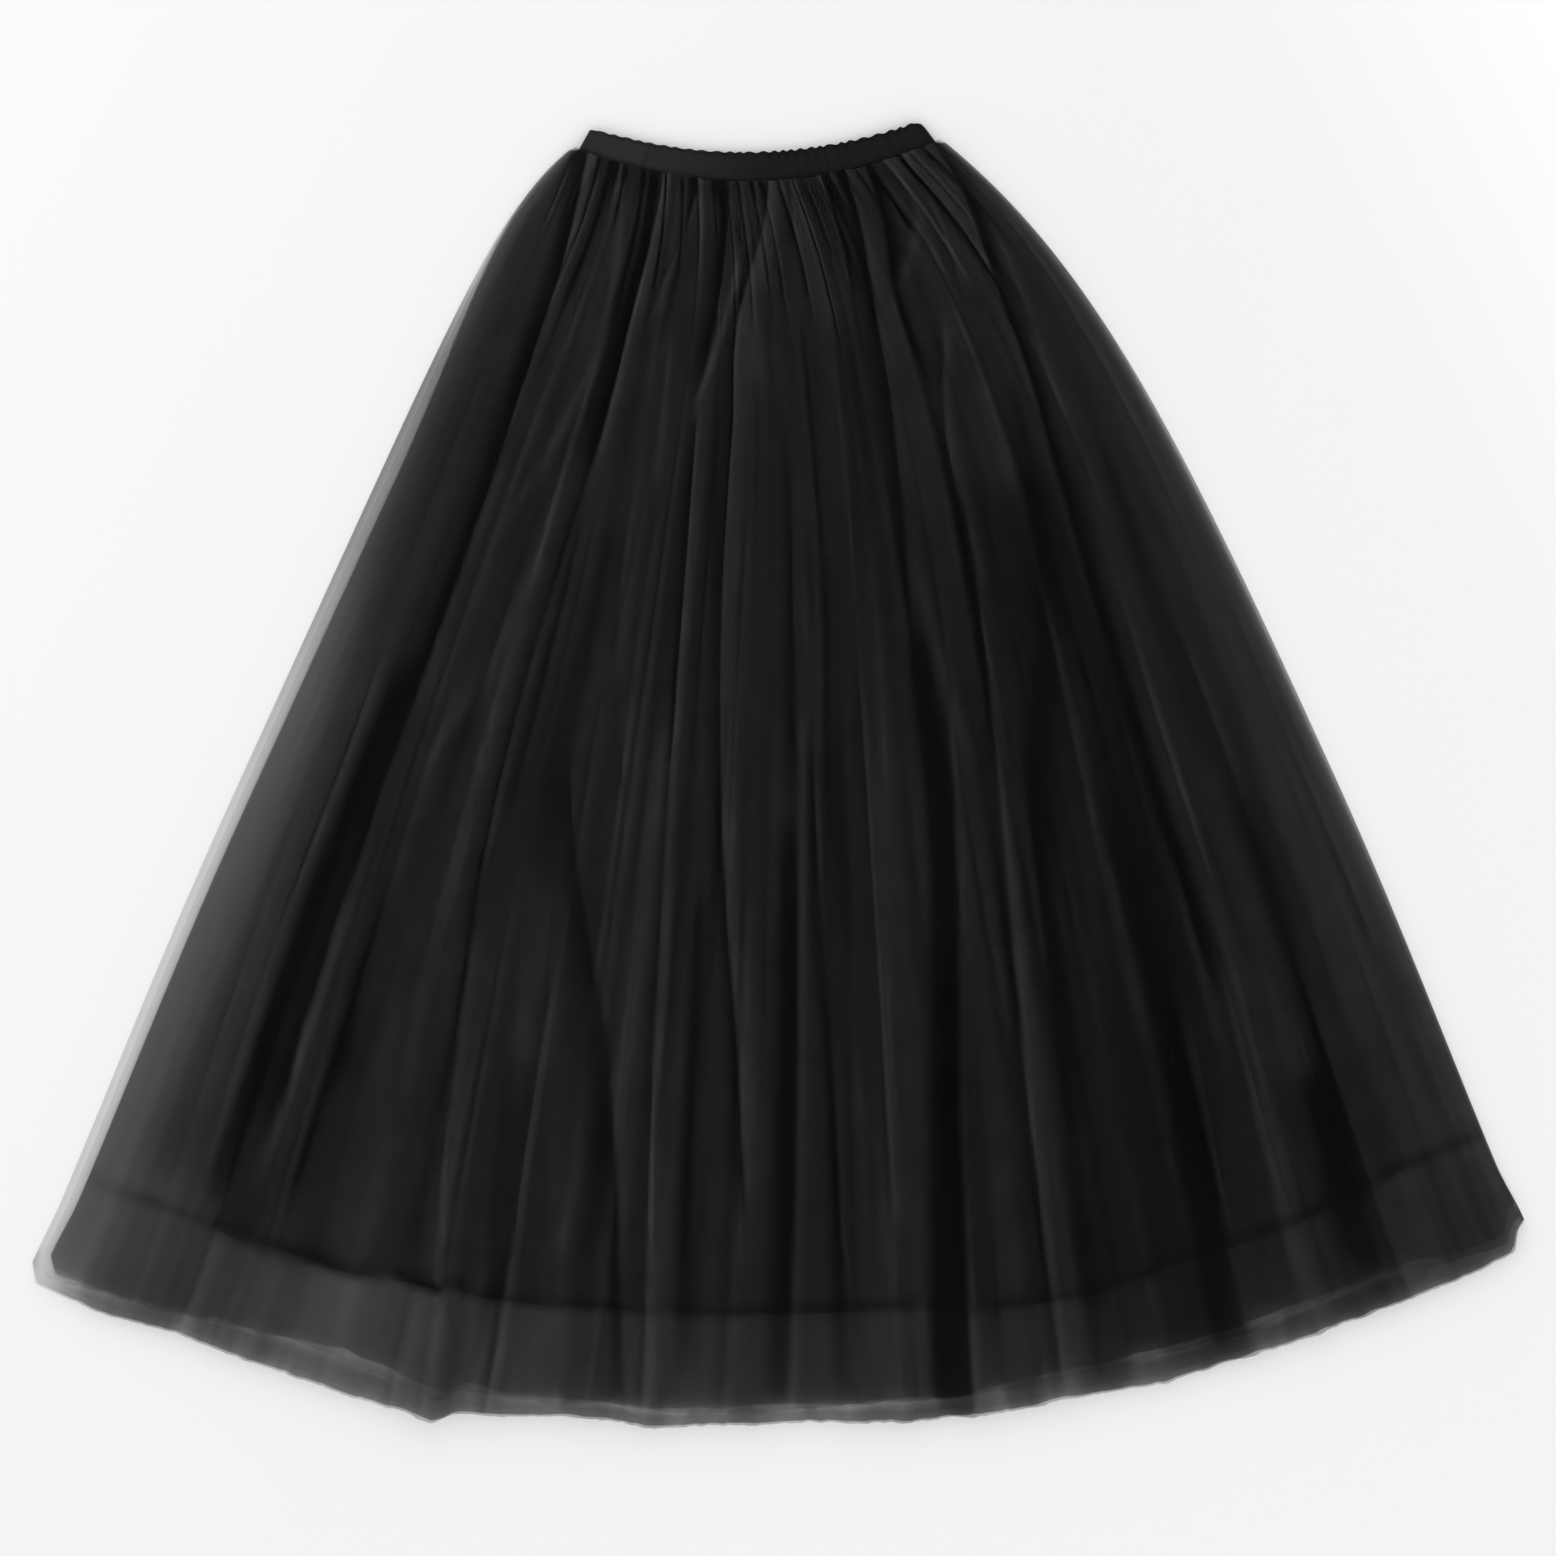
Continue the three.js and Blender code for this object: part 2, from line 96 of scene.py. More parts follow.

# The creases that the photograph shows, from left to right and from the waist down. The path is where
# the crease line lies across the skirt, from -1 to 1, at the shares of the length in STATIONS. Start and
# end are shares of the length. Left and right are the flanks on the two sides of the line: how wide each
# is as a share of half the skirt, and how much the net's colour is lightened there by painted highlight,
# or darkened by painted shade where the value is below 0, for the light and shade on each fold. High is in
# mm.
STATIONS = (0.0, 0.1, 0.2, 0.35, 0.5, 0.7, 1.0)
Crease = namedtuple("Crease", "name start end path left right high")
CREASES = (
    Crease("left_fold", 0.0, 0.84, (-0.9, -0.83, -0.787, -0.757, -0.757, -0.757, -0.75),
           (0.05, -0.75), (0.03, 0.45), 6),
    Crease("left_shade", 0.12, 0.52, (-0.88, -0.84, -0.79, -0.757, -0.757, -0.757, -0.75),
           (0.035, -0.5), (0.01, 0.1), 0),
    Crease("left_trough", 0.42, 0.91, (-0.8, -0.8, -0.8, -0.785, -0.795, -0.8, -0.805),
           (0.045, -0.75), (0.03, -0.55), -4),
    Crease("left_top", 0.0, 0.12, (-0.87, -0.82, -0.8, -0.8, -0.8, -0.8, -0.8),
           (0.03, 0.25), (0.018, 0.25), 4),
    Crease("left_dent", 0.0, 0.14, (-0.76, -0.775, -0.79, -0.79, -0.79, -0.79, -0.79),
           (0.015, -0.4), (0.018, -0.3), -2),
    Crease("hip_streak", 0.14, 0.32, (-0.6, -0.6, -0.638, -0.72, -0.72, -0.72, -0.72),
           (0.015, 0.4), (0.025, 0.3), 3),
    Crease("hip_soft", 0.02, 0.22, (-0.69, -0.63, -0.6, -0.58, -0.58, -0.58, -0.58),
           (0.02, 0.35), (0.02, 0.2), 3),
    Crease("hip_hollow", 0.0, 0.26, (-0.52, -0.54, -0.532, -0.54, -0.54, -0.54, -0.54),
           (0.075, -0.7), (0.006, 0.0), -4),
    Crease("hip_depth", 0.06, 0.23, (-0.55, -0.545, -0.534, -0.54, -0.54, -0.54, -0.54),
           (0.03, -0.55), (0.005, 0.0), -2),
    Crease("big_left", 0.0, 1.1, (-0.5, -0.538, -0.532, -0.548, -0.555, -0.525, -0.47),
           (0.018, -0.3), (0.028, 0.42), 8),
    Crease("big_left_top", 0.0, 0.24, (-0.5, -0.538, -0.532, -0.548, -0.555, -0.525, -0.47),
           (0.005, 0.0), (0.03, 0.4), 2),
    Crease("left_band", 0.36, 0.72, (-0.6, -0.6, -0.6, -0.597, -0.595, -0.55, -0.5),
           (0.045, 0.16), (0.02, 0.2), 5),
    Crease("left_diagonal", 0.24, 0.54, (-0.6, -0.6, -0.595, -0.605, -0.69, -0.75, -0.75),
           (0.035, 0.3), (0.02, 0.3), 4),
    Crease("left_notch", 0.38, 0.5, (-0.55, -0.55, -0.55, -0.58, -0.7, -0.8, -0.9),
           (0.02, 0.0), (0.03, 0.2), 2),
    Crease("left_curl", 0.6, 0.7, (-0.5, -0.5, -0.5, -0.5, -0.52, -0.685, -0.8),
           (0.012, -0.1), (0.02, 0.28), 2),
    Crease("left_hem_light", 0.66, 1.0, (-0.6, -0.6, -0.6, -0.6, -0.62, -0.6, -0.6),
           (0.07, 0.14), (0.09, 0.14), 3),
    Crease("left_tongue", 0.58, 0.88, (-0.74, -0.74, -0.74, -0.74, -0.742, -0.744, -0.76),
           (0.02, 0.3), (0.015, 0.15), 3),
    Crease("beside_tongue", 0.6, 0.9, (-0.7, -0.7, -0.7, -0.7, -0.695, -0.7, -0.72),
           (0.012, -0.3), (0.03, -0.5), -3),
    Crease("low_left_light", 0.6, 1.1, (-0.53, -0.53, -0.53, -0.53, -0.54, -0.53, -0.48),
           (0.05, 0.15), (0.06, 0.2), 3),
    Crease("left_hook", 0.7, 0.82, (-0.6, -0.6, -0.6, -0.6, -0.62, -0.61, -0.52),
           (0.018, -0.22), (0.02, -0.2), -2),
    Crease("left_low", 0.44, 0.8, (-0.7, -0.7, -0.7, -0.71, -0.72, -0.7, -0.62),
           (0.05, -0.2), (0.05, -0.25), -3),
    Crease("waist_tuck", 0.0, 0.14, (-0.31, -0.465, -0.47, -0.47, -0.47, -0.47, -0.47),
           (0.012, -0.35), (0.018, 0.5), 4),
    Crease("waist_dent", 0.0, 0.14, (-0.345, -0.41, -0.43, -0.43, -0.43, -0.43, -0.43),
           (0.018, -0.42), (0.012, -0.3), -3),
    Crease("short_light", 0.11, 0.26, (-0.42, -0.4, -0.37, -0.34, -0.34, -0.34, -0.34),
           (0.014, 0.45), (0.02, 0.4), 3),
    Crease("long_light", 0.2, 0.52, (-0.43, -0.43, -0.42, -0.395, -0.32, -0.28, -0.28),
           (0.015, -0.05), (0.06, 0.16), 4),
    Crease("mid_left_dark", 0.26, 0.6, (-0.45, -0.45, -0.45, -0.45, -0.475, -0.4, -0.4),
           (0.06, -0.22), (0.05, -0.25), -3),
    Crease("left_patch", 0.52, 0.76, (-0.48, -0.48, -0.48, -0.48, -0.47, -0.435, -0.43),
           (0.03, 0.22), (0.04, 0.26), 4),
    Crease("diagonal", 0.46, 1.02, (-0.5, -0.5, -0.5, -0.48, -0.42, -0.295, -0.215),
           (0.07, -0.5), (0.02, 0.08), -3),
    Crease("beside_diagonal", 0.56, 1.1, (-0.44, -0.44, -0.44, -0.44, -0.43, -0.382, -0.285),
           (0.015, 0.08), (0.025, 0.14), 5),
    Crease("low_left_dark", 0.68, 0.96, (-0.45, -0.45, -0.45, -0.45, -0.45, -0.44, -0.4),
           (0.02, -0.3), (0.05, -0.3), -2),
    Crease("neck_hollow", 0.0, 0.18, (-0.165, -0.235, -0.28, -0.31, -0.31, -0.31, -0.31),
           (0.055, -0.8), (0.012, 0.2), -3),
    Crease("neck_tuck", 0.0, 0.07, (-0.19, -0.06, -0.06, -0.06, -0.06, -0.06, -0.06),
           (0.03, -0.25), (0.01, 0.1), -1),
    Crease("neck_ridge", 0.045, 0.2, (-0.07, -0.195, -0.295, -0.3, -0.3, -0.3, -0.3),
           (0.014, 0.7), (0.018, 0.6), 3),
    Crease("thin_left", 0.17, 1.1, (-0.3, -0.29, -0.272, -0.252, -0.237, -0.22, -0.193),
           (0.022, -0.3), (0.024, 0.7), 6),
    Crease("thin_shade", 0.18, 0.47, (-0.3, -0.29, -0.272, -0.252, -0.237, -0.22, -0.19),
           (0.035, -0.5), (0.005, 0.0), -3),
    Crease("narrow_dark", 0.17, 0.36, (-0.2, -0.2, -0.205, -0.185, -0.18, -0.18, -0.18),
           (0.02, -0.35), (0.015, -0.2), -2),
    Crease("middle_fold", 0.0, 0.84, (0.06, -0.15, -0.166, -0.163, -0.138, -0.09, -0.05),
           (0.035, -0.5), (0.05, 0.4), 9),
    Crease("middle_edge", 0.07, 0.27, (0.06, -0.15, -0.166, -0.163, -0.138, -0.09, -0.05),
           (0.01, -0.4), (0.014, 0.5), 2),
    Crease("middle_light", 0.0, 0.2, (-0.0, -0.1, -0.1, -0.09, -0.09, -0.09, -0.09),
           (0.03, 0.15), (0.05, 0.2), 5),
    Crease("middle_line", 0.02, 0.16, (-0.07, -0.04, -0.02, -0.02, -0.02, -0.02, -0.02),
           (0.01, 0.4), (0.01, -0.15), 3),
    Crease("soft_left_light", 0.42, 0.76, (-0.26, -0.26, -0.26, -0.26, -0.265, -0.27, -0.26),
           (0.06, 0.2), (0.04, 0.2), 3),
    Crease("below_middle", 0.54, 0.97, (-0.17, -0.17, -0.17, -0.17, -0.17, -0.165, -0.145),
           (0.02, -0.35), (0.045, -0.5), -3),
    Crease("middle_dark", 0.14, 0.5, (-0.05, -0.04, -0.012, 0.0, 0.005, 0.005, 0.005),
           (0.1, -0.3), (0.05, 0.14), -2),
    Crease("long_trough", 0.5, 1.02, (-0.03, -0.03, -0.03, -0.02, 0.0, 0.0, -0.012),
           (0.06, -0.85), (0.004, 0.0), -3),
    Crease("long_line", 0.41, 1.1, (0.02, 0.02, 0.02, 0.02, 0.013, 0.01, -0.004),
           (0.01, 0.35), (0.016, 0.35), 4),
    Crease("wedge", 0.44, 1.1, (0.02, 0.02, 0.02, 0.025, 0.038, 0.057, 0.078),
           (0.03, -0.4), (0.02, 0.25), 4),
    Crease("wedge_top", 0.32, 0.48, (0.04, 0.04, 0.03, 0.035, 0.05, 0.05, 0.05),
           (0.02, 0.2), (0.02, 0.2), 3),
    Crease("waist_slant", 0.0, 0.1, (0.17, 0.025, 0.0, 0.0, 0.0, 0.0, 0.0),
           (0.03, -0.3), (0.012, 0.15), -3),
    Crease("low_mid_dark", 0.42, 0.72, (0.07, 0.07, 0.07, 0.07, 0.08, 0.1, 0.1),
           (0.02, -0.12), (0.03, -0.2), -2),
    Crease("low_mid_light", 0.3, 1.05, (0.2, 0.2, 0.2, 0.19, 0.178, 0.152, 0.14),
           (0.04, 0.2), (0.02, 0.15), 5),
    Crease("low_light", 0.6, 1.1, (0.1, 0.1, 0.1, 0.1, 0.1, 0.1, 0.115),
           (0.025, 0.15), (0.03, 0.15), 3),
    Crease("waist_ridge", 0.0, 0.1, (0.33, 0.27, 0.3, 0.3, 0.3, 0.3, 0.3),
           (0.02, 0.4), (0.045, -0.55), 5),
    Crease("deep_fold", 0.0, 0.38, (0.46, 0.34, 0.302, 0.27, 0.26, 0.26, 0.26),
           (0.04, -0.5), (0.035, 0.25), 6),
    Crease("deep_shade", 0.0, 0.15, (0.45, 0.335, 0.298, 0.27, 0.26, 0.26, 0.26),
           (0.025, -0.6), (0.004, 0.0), -3),
    Crease("second_hollow", 0.0, 0.2, (0.57, 0.415, 0.43, 0.44, 0.44, 0.44, 0.44),
           (0.01, 0.25), (0.038, -0.85), -5),
    Crease("slant_light", 0.035, 0.125, (0.83, 0.423, 0.1, 0.1, 0.1, 0.1, 0.1),
           (0.02, -0.25), (0.03, 0.6), 3),
    Crease("right_fold", 0.11, 1.1, (0.62, 0.57, 0.45, 0.424, 0.395, 0.363, 0.352),
           (0.025, -0.35), (0.036, 0.5), 8),
    Crease("right_shade", 0.24, 0.52, (0.45, 0.45, 0.45, 0.424, 0.395, 0.363, 0.35),
           (0.04, -0.5), (0.005, 0.0), -2),
    Crease("knife", 0.4, 1.1, (0.33, 0.33, 0.33, 0.33, 0.307, 0.262, 0.232),
           (0.02, -0.2), (0.035, 0.35), 8),
    Crease("knife_trough", 0.36, 1.04, (0.27, 0.27, 0.27, 0.268, 0.28, 0.242, 0.205),
           (0.042, -1.3), (0.035, -1.3), -4),
    Crease("knife_top", 0.28, 0.5, (0.28, 0.28, 0.28, 0.305, 0.35, 0.35, 0.35),
           (0.025, 0.25), (0.02, 0.2), 4),
    Crease("slant_dark", 0.18, 0.6, (0.74, 0.7, 0.66, 0.585, 0.49, 0.45, 0.45),
           (0.06, -0.35), (0.04, -0.25), -3),
    Crease("low_dark", 0.46, 0.82, (0.5, 0.5, 0.5, 0.49, 0.448, 0.418, 0.4),
           (0.01, 0.2), (0.045, -0.65), -3),
    Crease("low_soft", 0.78, 0.98, (0.4, 0.4, 0.4, 0.4, 0.4, 0.42, 0.41),
           (0.03, -0.3), (0.04, -0.25), -2),
    Crease("low_right_light", 0.42, 1.1, (0.62, 0.62, 0.62, 0.62, 0.57, 0.492, 0.49),
           (0.03, 0.18), (0.03, 0.2), 5),
    Crease("low_right_dark", 0.54, 1.0, (0.6, 0.6, 0.6, 0.6, 0.6, 0.6, 0.565),
           (0.045, -0.4), (0.04, -0.45), -3),
    Crease("right_broad", 0.25, 1.1, (0.6, 0.6, 0.6, 0.6, 0.6, 0.59, 0.56),
           (0.42, -0.35), (0.3, -0.35), -3),
    Crease("low_corner", 0.78, 1.02, (0.8, 0.8, 0.8, 0.8, 0.8, 0.79, 0.79),
           (0.08, -0.45), (0.08, -0.45), -3),
    Crease("middle_broad", 0.1, 1.1, (0.16, 0.16, 0.16, 0.14, 0.1, 0.1, 0.1),
           (0.14, -0.2), (0.12, -0.3), -2),
    Crease("right_patch", 0.7, 1.1, (0.62, 0.62, 0.62, 0.62, 0.62, 0.62, 0.605),
           (0.008, 0.1), (0.05, 0.2), 5),
    Crease("right_waist", 0.0, 0.11, (0.7, 0.6, 0.58, 0.58, 0.58, 0.58, 0.58),
           (0.012, 0.3), (0.014, 0.35), 4),
    Crease("right_line", 0.0, 0.14, (0.77, 0.65, 0.61, 0.61, 0.61, 0.61, 0.61),
           (0.008, -0.2), (0.014, 0.5), 3),
    Crease("right_fold_top", 0.0, 0.1, (0.8, 0.79, 0.78, 0.78, 0.78, 0.78, 0.78),
           (0.015, 0.28), (0.015, 0.2), 4),
    Crease("right_dent", 0.0, 0.07, (0.76, 0.7, 0.7, 0.7, 0.7, 0.7, 0.7),
           (0.015, -0.4), (0.012, -0.25), -2),
    Crease("big_right", 0.0, 0.72, (0.93, 0.765, 0.707, 0.672, 0.663, 0.678, 0.69),
           (0.02, 0.25), (0.045, -0.9), 7),
    Crease("beside_right", 0.0, 0.26, (0.93, 0.825, 0.76, 0.73, 0.73, 0.73, 0.73),
           (0.006, 0.0), (0.022, 0.35), 3),
    Crease("right_light", 0.26, 1.1, (0.8, 0.8, 0.78, 0.745, 0.735, 0.72, 0.695),
           (0.035, 0.2), (0.035, 0.22), 6),
    Crease("right_thin", 0.68, 1.0, (0.7, 0.7, 0.7, 0.7, 0.7, 0.7, 0.68),
           (0.01, 0.0), (0.015, 0.25), 3),
    Crease("right_soft_dark", 0.18, 0.56, (0.86, 0.86, 0.84, 0.8, 0.79, 0.79, 0.79),
           (0.03, -0.2), (0.03, -0.2), -2),
    Crease("corner_dark", 0.55, 0.97, (0.82, 0.82, 0.82, 0.82, 0.82, 0.825, 0.76),
           (0.05, -0.4), (0.05, -0.4), -3),
)

# Where the net is laid over itself towards the hem: lean is how far the pleat is pushed over there, and
# wide is its half width, both in mm
Pleat = namedtuple("Pleat", "start path wide lean")
PLEATS = (
    Pleat(0.2, (-0.72, -0.72, -0.72, -0.72, -0.72, -0.72, -0.735), 20, 30),
    Pleat(0.3, (-0.52, -0.52, -0.52, -0.545, -0.56, -0.53, -0.435), 36, 70),
    Pleat(0.4, (-0.38, -0.38, -0.38, -0.385, -0.385, -0.385, -0.375), 18, 26),
    Pleat(0.5, (-0.28, -0.28, -0.28, -0.28, -0.28, -0.27, -0.245), 24, 42),
    Pleat(0.2, (-0.22, -0.22, -0.265, -0.24, -0.24, -0.22, -0.175), 16, 20),
    Pleat(0.5, (0.0, 0.0, 0.0, 0.0, 0.0, -0.07, -0.06), 26, -24),
    Pleat(0.5, (0.06, 0.06, 0.06, 0.055, 0.05, 0.055, 0.09), 22, 26),
    Pleat(0.4, (0.3, 0.3, 0.3, 0.3, 0.31, 0.27, 0.235), 26, 48),
    Pleat(0.4, (0.42, 0.42, 0.42, 0.42, 0.395, 0.372, 0.325), 20, 24),
    Pleat(0.5, (0.62, 0.62, 0.62, 0.62, 0.62, 0.63, 0.6), 32, 60),
    Pleat(0.5, (0.7, 0.7, 0.7, 0.7, 0.7, 0.7, 0.7), 18, 26),
    Pleat(0.6, (0.79, 0.79, 0.79, 0.79, 0.79, 0.79, 0.79), 26, 42),
)
CREASE_FADE = 0.05        # a crease comes and goes over this share of the length
CREASE_LINE = 0.004       # the net turns from one flank to the other over this share, each way
PLEAT_LIFT = 2.0

# Where gathers lie bunched at the hem: from, to, and how many plies that adds to a layer
BUNCHED = (
    (-0.93, -0.86, 1.0), (-0.86, -0.8, 1.3), (-0.775, -0.74, 0.7), (-0.735, -0.72, 0.6), (-0.7, -0.67, 0.4),
    (-0.5, -0.465, 0.6), (-0.465, -0.42, 1.1), (-0.41, -0.375, 0.6), (-0.3, -0.24, 0.8),
    (-0.19, -0.17, 0.8), (-0.08, -0.05, 0.6),
    (0.0, 0.02, 0.4), (0.08, 0.15, 0.4), (0.15, 0.19, 1.0), (0.19, 0.238, 2.2), (0.28, 0.325, 1.2),
    (0.38, 0.44, 0.8), (0.49, 0.55, 0.8), (0.55, 0.605, 1.8), (0.66, 0.7, 0.5), (0.7, 0.75, 0.8),
    (0.75, 0.82, 1.6), (0.82, 0.88, 0.8), (0.88, 1.02, 2.2),
)
# How much of the paper's light comes up through the net beyond the lining, painted into the net's colour
GLOW = ((-1, 0.9), (-0.95, 0.6), (-0.9, 0.36), (-0.75, 0.2), (-0.6, 0.26), (-0.4, 0.14), (-0.2, 0.08),
        (0.3, 0.05), (0.6, 0.02), (0.8, 0.04), (0.9, 0.08), (0.97, 0.11), (1, 0.34))

# Each tulle layer, from the inside out: the levels of its back and front panels, how much of the loft
# and of the creases the front follows, how much of the pleats, and its grid
Layer = namedtuple("Layer", "name back_level level share lean_share columns rows")
LAYERS = (
    Layer("inner", 2 * LAY_STEP, FRONT_LEVEL, 0.45, 0.0, 420, 90),
    Layer("middle", LAY_STEP, FRONT_LEVEL + LAY_STEP, 0.7, 0.5, 480, 110),
    Layer("outer", 0.0, FRONT_LEVEL + 2 * LAY_STEP, 1.0, 1.0, 620, 150),
)
# How wide the sides thin out towards their edges, in mm, by the share of the length
LEFT_SOFT_EDGE = ((0, 5), (0.1, 14), (0.25, 14), (0.5, 24), (0.85, 46), (1, 40))
RIGHT_SOFT_EDGE = ((0, 6), (0.1, 14), (0.3, 12), (0.5, 6), (1, 6))
# How many plies the left edge adds to the outer layer, and how far in from it the net glows, in mm
LEFT_EDGE_PLIES = ((0, 0.5), (0.12, 0.6), (0.2, 2.4), (0.35, 2.4), (0.5, 1.1), (0.6, 0.6), (1, 0.6))
LEFT_GLOW_REACH = ((0, 12), (0.2, 25), (0.35, 25), (0.5, 55), (0.8, 80), (1, 80))
BACK_GRID = (240, 70)
LINING_GRID = (240, 110)
NET_SEEN_THROUGH = 0.82   # light that one ply of the net lets through
SHEET_LIFT = 0.5          # the visible sheet lies in the middle of the solid's wall
SHEET_GAP = 0.7           # each front sheet lies at least this far above the one below it
# Cut sizes in metres: each tulle panel is flared, 0.5 m wide at the waist and 1.36 m at the hem
PHOTO_PIXELS = 1556       # the photograph's width and height
PIXEL = 0.8               # mm


def ease(at, low, high):
    """Runs smoothly from 0 at low to 1 at high."""
    t = np.clip((at - low) / (high - low), 0, 1)
    return t * t * (3 - 2 * t)


def table(rows, at):
    """Straight lines between the rows of a small table."""
    places, values = zip(*rows)
    return np.interp(at, places, values)


def seam_at(end):
    return SEAM_Y + SEAM_DIP * end ** 2 + BAND_TILT * end


def band_top_at(end):
    return SEAM_Y + BAND_HEIGHT + TOP_DIP * end ** 2 + BAND_TILT * end


def spread_at(down, flare):
    return (1 - np.exp(-down / flare)) / (1 - np.exp(-1 / flare))


def half_width(down, flare=EVEN_FLARE):
    """Half the skirt's width in mm at a share of its length."""
    waist = SEAM_WIDTH / 2 + TULLE_SHOULDER
    flared = math.radians(MEAN_SIDE) * (WAIST_REACH + SKIRT_LENGTH * down)
    return waist + (flared - waist) * spread_at(down, flare)


def even_place(across, down):
    """A place across the tulle as a share of a fan that opens alike on both sides, as CREASES has it."""
    flare = LEFT_FLARE + (RIGHT_FLARE - LEFT_FLARE) * ease(across, -FLARE_BLEND, FLARE_BLEND)
    return across * half_width(down, flare) / half_width(down)


def draw_in(across, down, cut):
    """Where an inner layer's place lies across the whole skirt, from -1 to 1."""
    inset = np.where(across < 0, cut.inset_left, cut.inset_right) * ease(down, 0, 0.3)
    return across * (1 - inset / half_width(down))


def lay(across, down, cut):
    """Places on a panel in mm: across from -1 to 1, and down from 0 at the seam to 1 at the hem."""
    drawn_in = draw_in(across, down, cut)
    waist_x = SEAM_X + (SEAM_WIDTH / 2 + cut.shoulder) * drawn_in
    end = np.clip((waist_x - SEAM_X) / (SEAM_WIDTH / 2), -1, 1)
    waist_y = seam_at(end) - 0.4
    waist_angle = np.arctan2(waist_x - FAN_X, FAN_Y - waist_y)
    waist_reach = np.hypot(waist_x - FAN_X, FAN_Y - waist_y)
    side, closing = (np.where(across < 0, *pair) for pair in zip(cut.left[:2], cut.right[:2]))
    flare = cut.left[2] + (cut.right[2] - cut.left[2]) * ease(across, -FLARE_BLEND, FLARE_BLEND)
    full_angle = np.radians(drawn_in * (side - closing * ease(down, 0.6, 1)))
    angle = waist_angle + (full_angle - waist_angle) * spread_at(down, flare)
    hem = table(cut.hem, across) - table(cut.shorter, across)
    reach = waist_reach + (hem - waist_reach) * down
    return FAN_X + reach * np.sin(angle), FAN_Y - reach * np.cos(angle)


def smooth_path(values, down):
    """A smooth curve through a fold's places at the stations."""
    stations = np.array(STATIONS)
    values = np.array(values, float)
    slopes = np.gradient(values, stations)
    cell = np.clip(np.searchsorted(stations, down, side="right") - 1, 0, len(stations) - 2)
    length = stations[cell + 1] - stations[cell]
    t = np.clip((down - stations[cell]) / length, 0, 1)
    rise = values[cell + 1] - values[cell]
    start, finish = slopes[cell] * length, slopes[cell + 1] * length
    return (values[cell] + start * t + (3 * rise - 2 * start - finish) * t ** 2
            + (start + finish - 2 * rise) * t ** 3)


def chance_creases(count, chance):
    """Small uneven creases between the named ones, each a little different, with painted shade on their
    left flanks and painted highlight on their right.
    """
    creases = []
    for index in range(count):
        waist = -0.95 + 1.9 * (index + chance.uniform(0.1, 0.9)) / count
        hem = waist * 0.97 + chance.uniform(-0.03, 0.03)
        start = chance.choice((0.0, 0.1, 0.25, 0.4, 0.55))
        end = min(1.1, start + chance.uniform(0.2, 0.9))
        path = [waist + (hem - waist) * s + chance.uniform(-0.006, 0.006) for s in STATIONS]
        left = (chance.uniform(0.005, 0.02), chance.uniform(-0.55, 0.0))
        right = (chance.uniform(0.005, 0.025), chance.uniform(0.0, 0.4))
        creases.append(Crease("chance", start, end, path, left, right, chance.uniform(0.8, 2.6)))
    return creases


def gathers(chance):
    """The gathers that start under the band, one for each pucker, and soon die away, with painted shade and
    highlight on their flanks, and dots of painted shadow under the band's lower edge.
    """
    creases = []
    for index in range(PUCKERS):
        place = -1 + 2 * (index + 0.5 + chance.uniform(-0.25, 0.25)) / PUCKERS
        path = [place * (1 - 0.03 * s) for s in STATIONS]
        left = (chance.uniform(0.006, 0.016), chance.uniform(-1.4, -0.5))
        right = (chance.uniform(0.006, 0.014), chance.uniform(0.25, 0.85))
        end = chance.uniform(0.03, 0.16)
        creases.append(Crease("gather", 0.0, end, path, left, right, chance.uniform(1.2, 2.8)))
        # Painted shadow under the band's lower edge, between the gathers, as dark dots on the net
        if place < SEAM_SHADOW_DOTS_END:
            dot = (chance.uniform(0.006, 0.012), chance.uniform(-1.6, -0.6))
            creases.append(Crease("seam_shadow_dot", 0.0, 0.016, path, dot, dot, 0))
    return creases


def flank(off, wide):
    """1 at the crease line, and 0 where its flank ends."""
    return np.cos(np.pi / 2 * np.clip(off / wide, 0, 1)) ** 2


def peaked(off, wide):
    """A flank with a crisp line at the crease itself."""
    return 0.65 * flank(off, wide) + 0.35 * flank(off, 0.3 * wide)


def crease_sums(creases, across, down):
    """What creases add up to: rise in mm, and tone, which is painted highlight and painted shade on their
    flanks.
    """
    rise = np.zeros_like(across)
    tone = np.zeros_like(across)
    growth = 0.35 + 0.65 * ease(down, 0, 0.2)
    widened = 1 + 1.5 * np.exp(-down / 0.12)
    for crease in creases:
        off = across - smooth_path(crease.path, down)
        turned = ease(off, -CREASE_LINE, CREASE_LINE)
        fade = min(CREASE_FADE, (crease.end - crease.start) / 4)
        shown = 1 - ease(down, crease.end - fade, crease.end)
        if crease.start > 0:
            shown = shown * ease(down, crease.start, crease.start + fade)
        left = peaked(-off, crease.left[0] * widened) * (1 - turned) * shown
        right = peaked(off, crease.right[0] * widened) * turned * shown
        rise += crease.high * growth * (left + right)
        tone += crease.left[1] * left + crease.right[1] * right
    return rise, tone


def pleat_sums(across, down):
    """What the pleats add up to: how far they push the net over, and how far they lift it, in mm. They
    open out again above the hem."""
    lean = np.zeros_like(across)
    lift = np.zeros_like(across)
    width = half_width(down)
    for pleat in PLEATS:
        push = pleat.lean * down * ease(down, pleat.start, pleat.start + 0.3)
        push = push * (1 - 0.88 * ease(down, 0.82, 0.972))
        wide = 5 + (pleat.wide - 5) * down
        off = (across - smooth_path(pleat.path, down)) * width + push
        bump = flank(np.abs(off), wide)
        lean += push * bump
        lift += PLEAT_LIFT * bump * down
    return lean, lift


